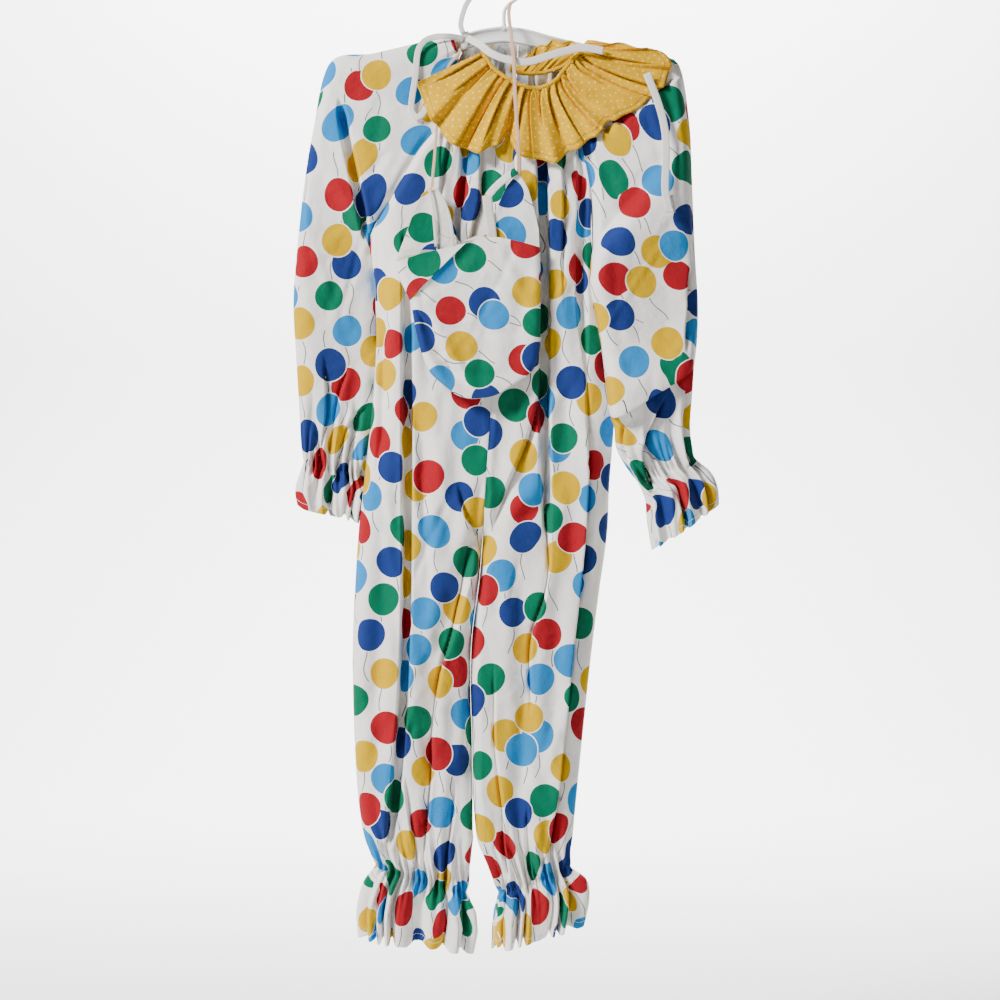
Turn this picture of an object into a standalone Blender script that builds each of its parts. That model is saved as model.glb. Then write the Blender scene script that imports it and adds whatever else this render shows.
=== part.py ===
"""A child's clown costume hanging on a plastic hanger: a balloon-print jumpsuit with raglan
sleeves and ruffled wrists and ankles, a gathered yellow collar, tape ties, and a soft hat hung
from two elastics in front of the chest.

Lengths in the tables are millimetres. +X is to the right of someone who looks at the front, +Y
goes from the front to the back, +Z is up. The origin is where a rail carries the hook, at the
inside of its top. "left" and "right" are those of someone who looks at the front.

Every cloth piece is a wall between its outer face, worked out from sections, and the same face
moved inwards by the cloth's thickness. A section runs across a piece from its inner edge (w = 0)
to its outer edge (w = 1), and s counts a table's sections, with fractions between them.
"""

import math

import bpy
import numpy as np

MM = 0.001

# Driving dimensions
CLOTH = 1.2  # thickness of the cotton walls
SEAM = 0.2  # each piece stops this far from the middle of a seam
TAPE_WIDTH = 9.5
TAPE_THICKNESS = 1.2
ELASTIC_WIDTH = 4.5
HAT_ELASTIC_WIDTH = 12
CASING_RADIUS = 2.6
ANKLE_WAVES = 15  # ruffle waves round one ankle
WRIST_WAVES = 11  # and round one wrist
NECK_WAVES = 4.5  # gathers across one half of the front neck
RUFF_PLEATS = 19


# ---------------------------------------------------------------- tables and curves


def table(names, *rows):
    """Rows of numbers as named columns."""
    return dict(zip(names.split(), np.array(rows, float).T, strict=True))


def at(column, s):
    """A column's value at s, on a smooth curve through its rows."""
    i = int(min(max(math.floor(s), 0), len(column) - 2))
    t = s - i
    before, start, end = column[max(i - 1, 0)], column[i], column[i + 1]
    after = column[min(i + 2, len(column) - 1)]
    second = 2 * before - 5 * start + 4 * end - after
    third = 3 * (start - end) + after - before
    return start + 0.5 * t * (end - before + t * (second + t * third))


def ramp(x, low, high):
    """0 below low, 1 above high, and a soft step between."""
    t = min(max((x - low) / (high - low), 0.0), 1.0)
    return t * t * (3 - 2 * t)


def hump(x, half_width):
    """1 at x = 0, falling softly to 0 at half_width on each side."""
    return 1 - ramp(abs(x), 0.0, half_width)


# ---------------------------------------------------------------- walls and strips


def finish(name, colour, roughness):
    material = bpy.data.materials.new(name)
    material.use_nodes = True
    shader = material.node_tree.nodes["Principled BSDF"]
    shader.inputs["Base Color"].default_value = (*colour, 1)
    shader.inputs["Roughness"].default_value = roughness
    shader.inputs["Metallic"].default_value = 0.0
    return material


def make_object(name, points, faces, colour, roughness):
    mesh = bpy.data.meshes.new(name)
    mesh.from_pydata([tuple(p * MM) for p in points], [], faces)
    mesh.validate()
    mesh.shade_smooth()
    mesh.set_sharp_from_angle(angle=math.radians(50))
    piece = bpy.data.objects.new(name, mesh)
    bpy.context.scene.collection.objects.link(piece)
    mesh.materials.append(finish(name, colour, roughness))
    return piece


def between(first, second):
    """Triangles between two rows of point numbers, which may differ in length."""
    faces, i, j = [], 0, 0
    while i < len(first) - 1 or j < len(second) - 1:
        next_i, next_j = (i + 1) / (len(first) - 1), (j + 1) / (len(second) - 1)
        if j == len(second) - 1 or (i < len(first) - 1 and next_i <= next_j + 1e-9):
            faces.append((first[i], first[i + 1], second[j]))
            i += 1
        else:
            faces.append((first[i], second[j + 1], second[j]))
            j += 1
    return faces


def wall(rows, thickness, start_normals=None, end_normals=None):
    """Points and faces of a wall whose outer face runs through rows of points.

    start_normals and end_normals give the outward direction at each row's first and last point,
    so that two pieces that share a seam have parallel edges there.
    """
    numbers, count = [], 0
    for row in rows:
        numbers.append(list(range(count, count + len(row))))
        count += len(row)
    outer = np.concatenate(rows)
    faces = [f for a, b in zip(numbers, numbers[1:]) for f in between(a, b)]
    tri = np.array(faces)
    cross = np.cross(outer[tri[:, 1]] - outer[tri[:, 0]], outer[tri[:, 2]] - outer[tri[:, 0]])
    normal = np.zeros_like(outer)
    for k in range(3):
        np.add.at(normal, tri[:, k], cross)
    normal /= np.linalg.norm(normal, axis=1)[:, None]
    for given, place in ((start_normals, 0), (end_normals, -1)):
        if given is not None:
            for row, direction in zip(numbers, given):
                if direction is not None:
                    normal[row[place]] = np.array(direction) / np.linalg.norm(direction)
    # A corner's inner point moves further, so that the faces beside it stay a cloth apart.
    unit = cross / np.linalg.norm(cross, axis=1)[:, None]
    least = np.ones(len(outer))
    for k in range(3):
        np.minimum.at(least, tri[:, k], (unit * normal[tri[:, k]]).sum(1))
    inner = outer - normal * (thickness / np.clip(least, 0.72, 1.0))[:, None]
    rim = (
        numbers[0]
        + [row[-1] for row in numbers[1:-1]]
        + numbers[-1][::-1]
        + [row[0] for row in numbers[-2:0:-1]]
    )
    closed = faces + [(c + count, b + count, a + count) for a, b, c in faces]
    for a, b in zip(rim, rim[1:] + rim[:1]):
        closed += [(b, a, a + count), (b, a + count, b + count)]
    return np.concatenate([outer, inner]), closed


def directions(path):
    step = np.gradient(path, axis=0)
    return step / np.linalg.norm(step, axis=1)[:, None]


def swept(path, width_direction, width, thickness):
    """A flat strip along a path. Its width lies along width_direction, or with None it looks to
    the front all along."""
    step = directions(path)
    if width_direction is None:
        across = np.cross(step, (0, -1, 0))
    else:
        across = np.array(width_direction, float) * np.ones_like(path)
    across -= step * (across * step).sum(1)[:, None]
    across /= np.linalg.norm(across, axis=1)[:, None]
    up = np.cross(step, across)
    corners = [(-1, -1), (1, -1), (1, 1), (-1, 1)]
    rings = [path + across * a * width / 2 + up * b * thickness / 2 for a, b in corners]
    points = np.stack(rings, axis=1).reshape(-1, 3)
    faces = []
    for i in range(len(path) - 1):
        for k in range(4):
            a, b = 4 * i + k, 4 * i + (k + 1) % 4
            faces += [(a, b, b + 4), (a, b + 4, a + 4)]
    last = 4 * (len(path) - 1)
    faces += [(0, 2, 1), (0, 3, 2), (last, last + 1, last + 2), (last, last + 2, last + 3)]
    return points, faces


def tube(name, path, radius, colour, roughness=0.5):
    """A round cord or wire: a curve with a bevel and filled ends."""
    curve = bpy.data.curves.new(name, "CURVE")
    curve.dimensions, curve.bevel_depth, curve.bevel_resolution = "3D", radius * MM, 2
    curve.use_fill_caps = True
    spline = curve.splines.new("POLY")
    spline.points.add(len(path) - 1)
    for point, place in zip(spline.points, path):
        point.co = (*(c * MM for c in place), 1)
    piece = bpy.data.objects.new(name, curve)
    bpy.context.scene.collection.objects.link(piece)
    curve.materials.append(finish(name, colour, roughness))
    return piece


def as_mesh(curve_piece):
    """A curve's tube as a mesh object of the same name, for a Boolean."""
    bpy.context.view_layer.update()
    graph = bpy.context.evaluated_depsgraph_get()
    mesh = bpy.data.meshes.new_from_object(curve_piece.evaluated_get(graph))
    piece = bpy.data.objects.new(curve_piece.name + "_mesh", mesh)
    bpy.context.scene.collection.objects.link(piece)
    piece.hide_render, piece.display_type = True, "WIRE"
    bpy.data.objects.remove(curve_piece, do_unlink=True)
    return piece


def smooth_path(points, count):
    """count points, evenly far apart, on a smooth curve through the given ones."""
    points = np.array(points, float)
    fine = np.array([[at(points[:, k], s) for k in range(3)] for s in np.linspace(0, len(points) - 1, 200)])
    run = np.concatenate([[0], np.cumsum(np.linalg.norm(np.diff(fine, axis=0), axis=1))])
    return np.stack([np.interp(np.linspace(0, run[-1], count), run, fine[:, k]) for k in range(3)], axis=1)


# ---------------------------------------------------------------- the jumpsuit's outlines

# The body's sections, from the neck to the ankle hem. Each half runs from the middle (centre
# seam, and inseam below the crotch) to the side (raglan seam above the underarm). depth is how
# far the front and back stand from the middle of the body.
BODY = table(
    "mid_x mid_z left_x left_z right_x right_z depth",
    (18, -166, -50, -140, 84, -138, 15),  # neckline
    (15, -196, -80, -194, 92, -184, 19),
    (11, -238, -107, -228, 98, -230, 24),
    (6, -288, -138, -282, 108, -280, 27),
    (1, -345, -167, -335, 110, -345, 29),  # underarm
    (-4, -402, -162, -390, 118, -396, 30),
    (-10, -480, -160, -475, 134, -474, 30),
    (-17, -560, -166, -558, 138, -556, 30),
    (-22, -630, -174, -630, 132, -640, 30),
    (-25, -680, -180, -682, 130, -690, 30),
    (-27, -714, -183, -716, 127, -722, 29),  # crotch
    (-31, -762, -186, -766, 120, -770, 28),
    (-40, -832, -189, -830, 112, -832, 27),
    (-42, -892, -189, -893, 105, -893, 26),
    (-40, -960, -187, -960, 98, -960, 26),
    (-39, -1030, -183, -1028, 91, -1030, 25),
    (-38, -1085, -176, -1078, 86, -1082, 23),
    (-30, -1122, -167, -1104, 83, -1104, 20),
    (-28, -1153, -162, -1118, 84, -1120, 17),  # ankle elastic
    (-27, -1172, -172, -1140, 94, -1138, 20),
    (-26, -1196, -180, -1172, 97, -1160, 23),
    (-27, -1222, -178, -1206, 90, -1192, 24),  # hem
)
UNDERARM, CROTCH, ANKLE, HEM = 4, 10, 18, 21
# Below the knee the legs part: how far each leg's inner edge stands from the middle line.
PARTING = table(
    "s left right",
    (0, 0, 0),
    (15, 0, 0),
    (16, 0, 4),
    (17, 13, 11),
    (18, 17, 19),
    (19, 13, 15),
    (20, 12, 11),
    (21, 17, 12),
)
# The back neckline stands higher than the front one: the rise of the first sections.
BACK_RISE = table("mid left right", (84, 48, 46), (54, 34, 28), (28, 14, 12), (10, 4, 3), (0, 0, 0))

# The sleeves' sections, from the neckline to the wrist hem: the front and back raglan seams are
# the body's as far as the underarm, and the sleeve's own inner edge below it. out is the shoulder
# line and then the outer edge. in_y and out_y are where the sleeve's middle lies, because the
# left sleeve hangs behind the body's side and the right one in front of it.
SLEEVE_LEFT = table(
    "in_x in_z in_y out_x out_z out_y depth",
    (-50, -140, 0, -64, -80, 0, 14),
    (-80, -194, 0, -112, -92, 0, 17),
    (-107, -228, 0, -164, -104, 1, 19),
    (-138, -282, 0, -218, -116, 3, 20),
    (-167, -335, 0, -240, -205, 7, 19),  # underarm
    (-166, -362, 20, -250, -265, 8, 18),
    (-159, -396, 28, -257, -325, 9, 18),
    (-152, -450, 29, -264, -410, 11, 18),
    (-153, -510, 27, -261, -480, 12, 18),
    (-162, -566, 22, -257, -545, 12, 17),
    (-172, -604, 17, -255, -586, 12, 14),
    (-178, -631, 14, -253, -614, 12, 10),  # wrist elastic
    (-173, -650, 14, -258, -634, 12, 13),
    (-178, -668, 14, -259, -652, 12, 15),
    (-181, -686, 14, -254, -668, 12, 15),  # hem
)
SLEEVE_RIGHT = table(
    "in_x in_z in_y out_x out_z out_y depth",
    (84, -138, 0, 116, -93.5, 0, 14),
    (92, -184, 0, 150, -100.5, 0, 17),
    (98, -230, 0, 184, -108.5, 1, 19),
    (108, -280, 0, 218, -117.5, -1, 20),
    (110, -345, 0, 231, -190, -7, 19),  # underarm
    (107, -372, -30, 234, -255, -12, 18),
    (106, -402, -42, 236, -315, -15, 18),
    (121, -440, -44, 238, -365, -18, 18),
    (132, -482, -43, 241, -415, -20, 18),
    (138, -525, -42, 240, -462, -22, 18),
    (140, -556, -40, 236, -499, -24, 18),  # elbow fold
    (146, -573, -38, 234, -528, -24, 17),
    (145, -602, -38, 231, -574, -24, 15),
    (164, -640, -37, 236, -607, -26, 10),  # wrist elastic
    (180, -662, -37, 250, -628, -26, 13),
    (184, -690, -37, 259, -650, -26, 15),
    (189, -720, -37, 261, -672, -26, 15),  # hem
)
WRIST = {-1: 11, 1: 13}  # the section of the wrist's elastic


def mid_edge(s, side):
    """The body's middle edge at s: x and z, for the left (-1) or right (1) half."""
    parting = np.interp(s, PARTING["s"], PARTING["left" if side < 0 else "right"])
    return at(BODY["mid_x"], s) + side * (SEAM + parting), at(BODY["mid_z"], s)


def side_edge(s, side):
    """The body's side edge at s: x and z, a seam's half gap short of the raglan seam."""
    name = "left" if side < 0 else "right"
    gap = 2 * SEAM * (1 - ramp(s, UNDERARM - 0.4, UNDERARM))
    return at(BODY[name + "_x"], s) - side * (SEAM + gap), at(BODY[name + "_z"], s)


def back_rise(s, name):
    return at(BACK_RISE[name], s) if s < len(BACK_RISE["mid"]) - 1 else 0.0


def openness(s, last_open, closed, depth):
    """How far apart front and back stay at an edge that closes between two sections: half, in mm."""
    return SEAM + (depth - SEAM) * math.sqrt(1 - ramp(s, last_open, closed))


def edge_normal(half_gap, towards):
    """Outward at an edge: straight to the front where front and back stand apart, and sideways
    (towards, +1 or -1 along X) where they meet. For the back, y is turned round."""
    front = min(max((half_gap - SEAM) / (4 * CLOTH), 0.0), 1.0)
    return (towards * math.sqrt(1 - front * front), -front, 0)


def rounded(w, share_0, share_1, round_0, round_1):
    """The section's half depth, as a share of its depth: share_0 and share_1 at its two edges,
    rising to 1 on quarter ellipses that take round_0 and round_1 of its width."""

    def rise(t, share):
        t = min(t, 1.0)
        return share + (1 - share) * math.sqrt(max(1 - (1 - t) ** 2, 0.0))

    return rise(w / round_0, share_0) * rise((1 - w) / round_1, share_1)


def section(inner, outer, columns, half_depth, middle, fold, facing):
    """Points across a piece. inner and outer are (x, z); half_depth, middle and fold are
    functions of w in mm; facing is -1 for a front and 1 for a back. Folds stand out along the
    section's own normal."""
    inner, outer = np.array(inner), np.array(outer)
    length = np.linalg.norm(outer - inner)
    direction = (outer - inner) / length

    def base(w):
        return np.array([w * length, middle(w) + facing * half_depth(w)])

    points = []
    for w in columns:
        here = base(w)
        tangent = base(min(w + 0.004, 1)) - base(max(w - 0.004, 0))
        normal = np.array([-tangent[1], tangent[0]]) * facing / np.linalg.norm(tangent)
        if w in (0, 1) and half_depth(w) < CLOTH:  # a closed edge, which moves sideways only
            normal = np.array([2.0 * w - 1, 0.0])
        along, y = here + normal * fold(w)
        x, z = inner + direction * along
        points.append((x, y, z))
    return np.array(points)


# ---------------------------------------------------------------- the body's folds

# Long troughs (positive depth, into the body) and ridges, each down one column of cloth from
# section top to section foot, at w_top and w_foot across the piece.
FOLD_NAMES = "top foot w_top w_foot depth width"
FOLDS = {
    ("front", -1): table(
        FOLD_NAMES,
        (2.2, 16.5, 0.76, 0.78, 9, 11),
        (4.0, 10.5, 0.40, 0.22, 6, 14),
        (10.2, 17.0, 0.10, 0.36, 11, 13),
        (3.5, 9.0, 0.60, 0.52, -5, 16),
        (12.0, 17.0, 0.58, 0.57, -5, 15),
    ),
    ("front", 1): table(
        FOLD_NAMES,
        (1.0, 11.6, 0.40, 0.50, 17, 10),
        (1.5, 11.0, 0.74, 0.76, 8, 10),
        (4.0, 9.5, 0.18, 0.10, 6, 13),
        (11.0, 17.0, 0.30, 0.34, 8, 13),
        (10.0, 17.0, 0.70, 0.66, 7, 12),
    ),
    ("back", -1): table(
        FOLD_NAMES,
        (1.0, 11.0, 0.34, 0.42, 12, 12),
        (2.5, 16.0, 0.72, 0.74, 9, 12),
        (10.5, 17.0, 0.22, 0.34, 9, 13),
    ),
    ("back", 1): table(
        FOLD_NAMES,
        (2.0, 16.0, 0.68, 0.72, 10, 12),
        (1.0, 10.0, 0.30, 0.38, 12, 12),
        (10.5, 17.0, 0.18, 0.34, 9, 13),
    ),
}
# Where the columns of points cross the piece, so that some lie on the deepest troughs: column
# number, and w at the neck and at the ankle.
COLUMN_NAMES = "number neck ankle"
COLUMNS = {
    ("front", -1): table(COLUMN_NAMES, (0, 0, 0), (4, 0.22, 0.36), (11, 0.76, 0.78), (15, 1, 1)),
    ("front", 1): table(COLUMN_NAMES, (0, 0, 0), (7, 0.40, 0.50), (12, 0.74, 0.76), (16, 1, 1)),
    ("back", -1): table(COLUMN_NAMES, (0, 0, 0), (5, 0.34, 0.42), (9, 0.72, 0.74), (13, 1, 1)),
    ("back", 1): table(COLUMN_NAMES, (0, 0, 0), (4, 0.30, 0.38), (9, 0.68, 0.72), (13, 1, 1)),
}
RUFFLE_COLUMNS = 30
BODY_SECTIONS = [0, 0.5, 1, 2, 3, 3.6, 4, 5, 6, 7, 8, 9, 9.6, 10, 11, 12, 13, 14, 15, 16, 17, 17.6, 18]
RUFFLE_SECTIONS = [18.35, 19, 20, 21]


def body_fold(s, w, length, face, side):
    """How far the cloth stands out at s and w, in mm."""
    height = 0.0
    folds = FOLDS[face, side]
    for k in range(len(folds["top"])):
        top, foot = folds["top"][k], folds["foot"][k]
        share = min(max((s - top) / (foot - top), 0.0), 1.0)
        place = folds["w_top"][k] + (folds["w_foot"][k] - folds["w_top"][k]) * share
        along = ramp(s, top, top + 1.2) * (1 - ramp(s, foot - 1.5, foot))
        height -= folds["depth"][k] * along * hump((w - place) * length, folds["width"][k])
    inside = ramp(w, 0.0, 0.06) * ramp(1 - w, 0.0, 0.06)
    gathered = 3.0 * (1 - ramp(s, 0.2, 3.2))
    height += inside * gathered * math.cos(2 * math.pi * NECK_WAVES * (w - 0.5))
    # Waves run on round the leg: the front has the first half of them, the back the rest.
    turn = w / 2 if face == "front" else 1 - w / 2
    near = ramp(s, 15.8, 17.8) * 2.6 + ramp(s, 18.2, 20.5) * 5.0
    height += near * math.cos(2 * math.pi * (ANKLE_WAVES * turn + 0.18 * math.sin(4 * math.pi * turn)))
    return height


def body_columns(s, face, side):
    given = COLUMNS[face, side]
    share = s / HEM
    places = given["neck"] + (given["ankle"] - given["neck"]) * share
    return np.interp(np.arange(given["number"][-1] + 1), given["number"], places)


def body_piece(face, side):
    facing = -1 if face == "front" else 1
    rows, mid_normals, side_normals = [], [], []
    for s in BODY_SECTIONS + RUFFLE_SECTIONS:
        inner, outer = np.array(mid_edge(s, side)), np.array(side_edge(s, side))
        if face == "back":
            inner[1] += back_rise(s, "mid")
            outer[1] += back_rise(s, "left" if side < 0 else "right")
        length = np.linalg.norm(outer - inner)
        depth = at(BODY["depth"], s)
        mid_gap = openness(s, CROTCH - 1.6, CROTCH, depth)
        side_gap = openness(s, UNDERARM - 1.4, UNDERARM, depth)
        turning = 40 / length
        columns = body_columns(s, face, side)
        if s > ANKLE:
            columns = np.linspace(0, 1, RUFFLE_COLUMNS + 1)
        rows.append(
            section(
                inner,
                outer,
                columns,
                lambda w, d=depth, m=mid_gap, g=side_gap, t=turning: d * rounded(w, m / d, g / d, t, t),
                lambda w: 0.0,
                lambda w, s=s, n=length: body_fold(s, w, n, face, side),
                facing,
            )
        )
        # Below the crotch the middle edge faces the other leg.
        front = edge_normal(mid_gap, -side)
        mid_normals.append((front[0], -facing * front[1], 0))
        front = edge_normal(side_gap, side)
        side_normals.append((front[0], -facing * front[1], 0))
    if side * facing < 0:  # the outer face of these two is on the other side of their rows
        rows = [row[::-1] for row in rows]
        mid_normals, side_normals = side_normals, mid_normals
    points, faces = wall(rows, CLOTH, mid_normals, side_normals)
    name = face + ("_left" if side < 0 else "_right")
    return make_object(name, points, faces, COTTON, 0.85)


# ---------------------------------------------------------------- sleeves

SLEEVE_COLUMNS = (0, 0.1, 0.2, 0.3, 0.4, 0.5, 0.6, 0.7, 0.8, 0.89, 0.96, 1)
CUFF_COLUMNS = 22
SLEEVE_FOLDS = {
    ("front", -1): table(FOLD_NAMES, (4.5, 10.5, 0.62, 0.50, 6, 11), (5.5, 11.0, 0.30, 0.26, 5, 9)),
    ("front", 1): table(FOLD_NAMES, (3.0, 9.5, 0.66, 0.56, 6, 12), (5.0, 10.2, 0.28, 0.22, 5, 10)),
    ("back", -1): table(FOLD_NAMES, (3.0, 10.5, 0.55, 0.45, 7, 12)),
    ("back", 1): table(FOLD_NAMES, (3.0, 11.5, 0.50, 0.45, 7, 12)),
}
# Where the right sleeve's front folds over itself: the higher layer's edge from one (x, z) to
# another, and how far it stands out.
SHOULDER_LEDGE = ((104, -216), (205, -144), 9)
ELBOW_LEDGE = ((139, -558), (214, -511), 9)


def above(ledge, x, z):
    """How far (x, z) lies above a ledge's line, in mm."""
    (x0, z0), (x1, z1), _ = ledge
    return ((z - z0) * (x1 - x0) - (x - x0) * (z1 - z0)) / math.hypot(x1 - x0, z1 - z0)


def sleeve_fold(s, w, x, z, length, face, side):
    height, wrist = 0.0, WRIST[side]
    folds = SLEEVE_FOLDS[face, side]
    for k in range(len(folds["top"])):
        top, foot = folds["top"][k], folds["foot"][k]
        share = min(max((s - top) / (foot - top), 0.0), 1.0)
        place = folds["w_top"][k] + (folds["w_foot"][k] - folds["w_top"][k]) * share
        along = ramp(s, top, top + 1.2) * (1 - ramp(s, foot - 1.5, foot))
        height -= folds["depth"][k] * along * hump((w - place) * length, folds["width"][k])
    if side > 0 and face == "front":
        inside = ramp(w, 0.0, 0.1) * ramp(1 - w, 0.0, 0.12)
        low = 1 - ramp(above(SHOULDER_LEDGE, x, z), -7, 0)
        height += SHOULDER_LEDGE[2] * inside * low * (1 - ramp(s, 4.5, 7)) * ramp(s, 0.5, 1.5)
        high = ramp(above(ELBOW_LEDGE, x, z), -2, 4)
        height += ELBOW_LEDGE[2] * inside * high * ramp(s, 8, 9.8)
    turn = w / 2 if face == "front" else 1 - w / 2
    near = ramp(s, wrist - 2, wrist - 0.2) * 1.8 + ramp(s, wrist + 0.2, wrist + 2.5) * 3.6
    height += near * math.cos(2 * math.pi * (WRIST_WAVES * turn + 0.2 * math.sin(4 * math.pi * turn)))
    return height


def sleeve_piece(side):
    sections = SLEEVE_LEFT if side < 0 else SLEEVE_RIGHT
    wrist, hem = WRIST[side], len(sections["in_x"]) - 1
    steps = [0, 0.5, 1, 2, 3, 3.6, 4, 4.4, *range(5, wrist)]
    steps += [wrist - 0.4, wrist, wrist + 0.35, *range(wrist + 1, hem + 1)]
    rows, start_normals, end_normals = [], [], []
    for s in steps:
        depth = at(sections["depth"], s)
        outer = np.array([at(sections["out_x"], s), at(sections["out_z"], s)])
        out_y = at(sections["out_y"], s)
        if s <= UNDERARM:
            x, z = side_edge(s, side)
            gap = 2 * SEAM * (1 - ramp(s, UNDERARM - 0.4, UNDERARM))
            front_in, in_y = np.array([x + 2 * side * (SEAM + gap), z]), 0.0
            back_in = front_in + (0, back_rise(s, "left" if side < 0 else "right"))
            half_gap = openness(s, UNDERARM - 1.4, UNDERARM, at(BODY["depth"], s))
        else:
            start = (side_edge(UNDERARM, side)[0] + 2 * side * SEAM, at(sections["in_z"], UNDERARM), 0.0)
            own = [at(sections[name], s) for name in ("in_x", "in_z", "in_y")]
            share = ramp(s, UNDERARM, UNDERARM + 0.5)
            x, z, in_y = (a + (b - a) * share for a, b in zip(start, own))
            front_in = back_in = np.array([x, z])
            half_gap = SEAM
        columns = SLEEVE_COLUMNS if s <= wrist else np.linspace(0, 1, CUFF_COLUMNS + 1)
        halves = []
        for face, inner in (("front", front_in), ("back", back_in)):
            length = np.linalg.norm(outer - inner)
            turning = min(26 / length, 0.45)

            def place(w, inner=inner):
                return inner + (outer - inner) * w

            halves.append(
                section(
                    inner,
                    outer,
                    columns,
                    lambda w, t=turning: depth * rounded(w, half_gap / depth, 0.0, t, t),
                    lambda w: in_y + (out_y - in_y) * w,
                    lambda w, n=length, f=face, p=place: sleeve_fold(s, w, *p(w), n, f, side),
                    -1 if face == "front" else 1,
                )
            )
        rows.append(np.concatenate([halves[0], halves[1][-2::-1]]))
        normal = edge_normal(half_gap, -side)
        start_normals.append(normal)
        end_normals.append((normal[0], -normal[1], 0))
    if side > 0:
        rows = [row[::-1] for row in rows]
        start_normals, end_normals = end_normals, start_normals
    points, faces = wall(rows, CLOTH, start_normals, end_normals)
    return make_object("sleeve_left" if side < 0 else "sleeve_right", points, faces, COTTON, 0.85)


# ---------------------------------------------------------------- the hanger

HANGER = table(
    "x top height thick",
    (0, -70, 20, 8),
    (30, -74, 20, 8),
    (60, -82.9, 19, 8),
    (120, -96.9, 17, 8),
    (180, -110.9, 15, 8),
    (206, -118.3, 11, 6),
    (213, -122.8, 5, 3),
)
CHAMFER = 2.5
HOOK_RADIUS = 20
HOOK_WIRE = 2.4


def hanger():
    """A moulded bar with chamfered edges, and its hook, joined into one body."""
    half = list(range(len(HANGER["x"])))
    rings = []
    for side, k in [(-1, k) for k in half[:0:-1]] + [(1, k) for k in half]:
        x, top, height, thick = (HANGER[name][k] for name in ("x", "top", "height", "thick"))
        c = min(CHAMFER, thick / 3, height / 3)
        y, z0, z1 = thick / 2, top - height, top
        rings.append(
            [(side * x, a, b) for a, b in (
                (-y, z0 + c), (-y, z1 - c), (-y + c, z1), (y - c, z1),
                (y, z1 - c), (y, z0 + c), (y - c, z0), (-y + c, z0),
            )]
        )
    points = np.array(rings, float).reshape(-1, 3)
    faces = []
    for i in range(len(rings) - 1):
        for k in range(8):
            a, b = 8 * i + k, 8 * i + (k + 1) % 8
            faces += [(a, b + 8, a + 8), (a, b, b + 8)]
    last = 8 * (len(rings) - 1)
    for k in range(1, 7):
        faces += [(0, k + 1, k), (last, last + k, last + k + 1)]
    bar = make_object("hanger", points, faces, PLASTIC, 0.35)

    reach = HOOK_RADIUS + HOOK_WIRE
    turn = np.radians(np.linspace(-45, 200, 16))
    bend = [(reach * math.cos(a), reach * math.sin(a) - HOOK_RADIUS) for a in turn]
    route = [(0, -74), (0, -56), (1.5, -49), (6, -43.5), (11, -39.4)] + bend
    solid = tube("hook_shape", [(x, 0, z) for x, z in route], HOOK_WIRE, PLASTIC)
    solid.hide_render, solid.display_type = True, "WIRE"
    union = bar.modifiers.new("hook", "BOOLEAN")
    union.operation, union.object = "UNION", as_mesh(solid)


# ---------------------------------------------------------------- the collar

# From the collar's hemmed left end, round the front of the neck and back behind it: the gathered
# inner edge, and the outer hem.
RUFF = table(
    "in_x in_z in_y out_x out_z out_y",
    (-28, -106, -24, -109, -146, -28),
    (-20, -117, -26, -94, -184, -32),
    (-12, -128, -27, -72, -215, -36),
    (0, -137, -28, -40, -232, -37),
    (12, -144, -28, -14, -228, -38),
    (22, -148, -28, 10, -232, -38),
    (34, -151, -28, 40, -243, -38),
    (46, -151, -28, 68, -243, -38),
    (56, -147, -28, 98, -224, -38),
    (65, -141, -28, 124, -204, -37),
    (72, -132, -28, 146, -187, -36),
    (78, -125, -28, 172, -178, -38),
    (83, -119, -28, 196, -152, -37),
    (88, -113, -26, 208, -127, -32),
    (92, -108, -24, 194, -106, -27),
    (95, -104, -21, 146, -96, -22),
    (93, -104, -17, 112, -89, -16),
    (86, -112, -14, 98, -95, -12),
    (74, -122, -13, 82, -91, -9),
    (58, -128, -12, 66, -89, -9),
    (42, -131, -12, 48, -95, -9),
    (24, -131, -12, 28, -108, -10),
    (8, -127, -12, 8, -116, -10),
)
RUFF_COLUMNS = 76
RUFF_ROWS = (0.0, 0.25, 0.6, 1.0)


def ruff_edge(edge, v):
    return np.array([at(RUFF[edge + axis], v) for axis in ("_x", "_y", "_z")])


def gathered_edge(v, out):
    """A point beside the collar's gathered edge, out mm away from the casing's middle line."""
    before, inner, after = (ruff_edge("in", u) for u in (v - 0.3, v, v + 0.3))
    outer = ruff_edge("out", v)
    along = (after - before) / np.linalg.norm(after - before)
    across = outer - inner - along * np.dot(outer - inner, along)
    return inner + across / np.linalg.norm(across) * out


def ruff_point(v, t):
    """The collar's outer face: v counts RUFF's rows, and t runs from the gathers to the hem."""
    inner = gathered_edge(v, CASING_RADIUS + 0.8)
    outer = ruff_edge("out", v)
    width = np.linalg.norm(outer - inner)
    pleat = -math.cos(2 * math.pi * RUFF_PLEATS * v / (len(RUFF["in_x"]) - 1))
    return inner + (outer - inner) * t + (0, pleat * (1.4 + 4.2 * t) * min(width / 70, 1), 0)


def ruff():
    places = np.linspace(len(RUFF["in_x"]) - 1, 0, RUFF_COLUMNS + 1)
    rows = [np.array([ruff_point(v, t) for v in places]) for t in RUFF_ROWS]
    points, faces = wall(rows, CLOTH)
    return make_object("collar_ruff", points, faces, YELLOW, 0.8)


def ruff_casing():
    """The rolled channel with its cord, just inside the collar's gathered edge."""
    path = [gathered_edge(v, 0.0) for v in np.linspace(0, len(RUFF["in_x"]) - 1, 45)]
    return tube("collar_casing", path, CASING_RADIUS, YELLOW, 0.8)


# ---------------------------------------------------------------- the hat

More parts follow.
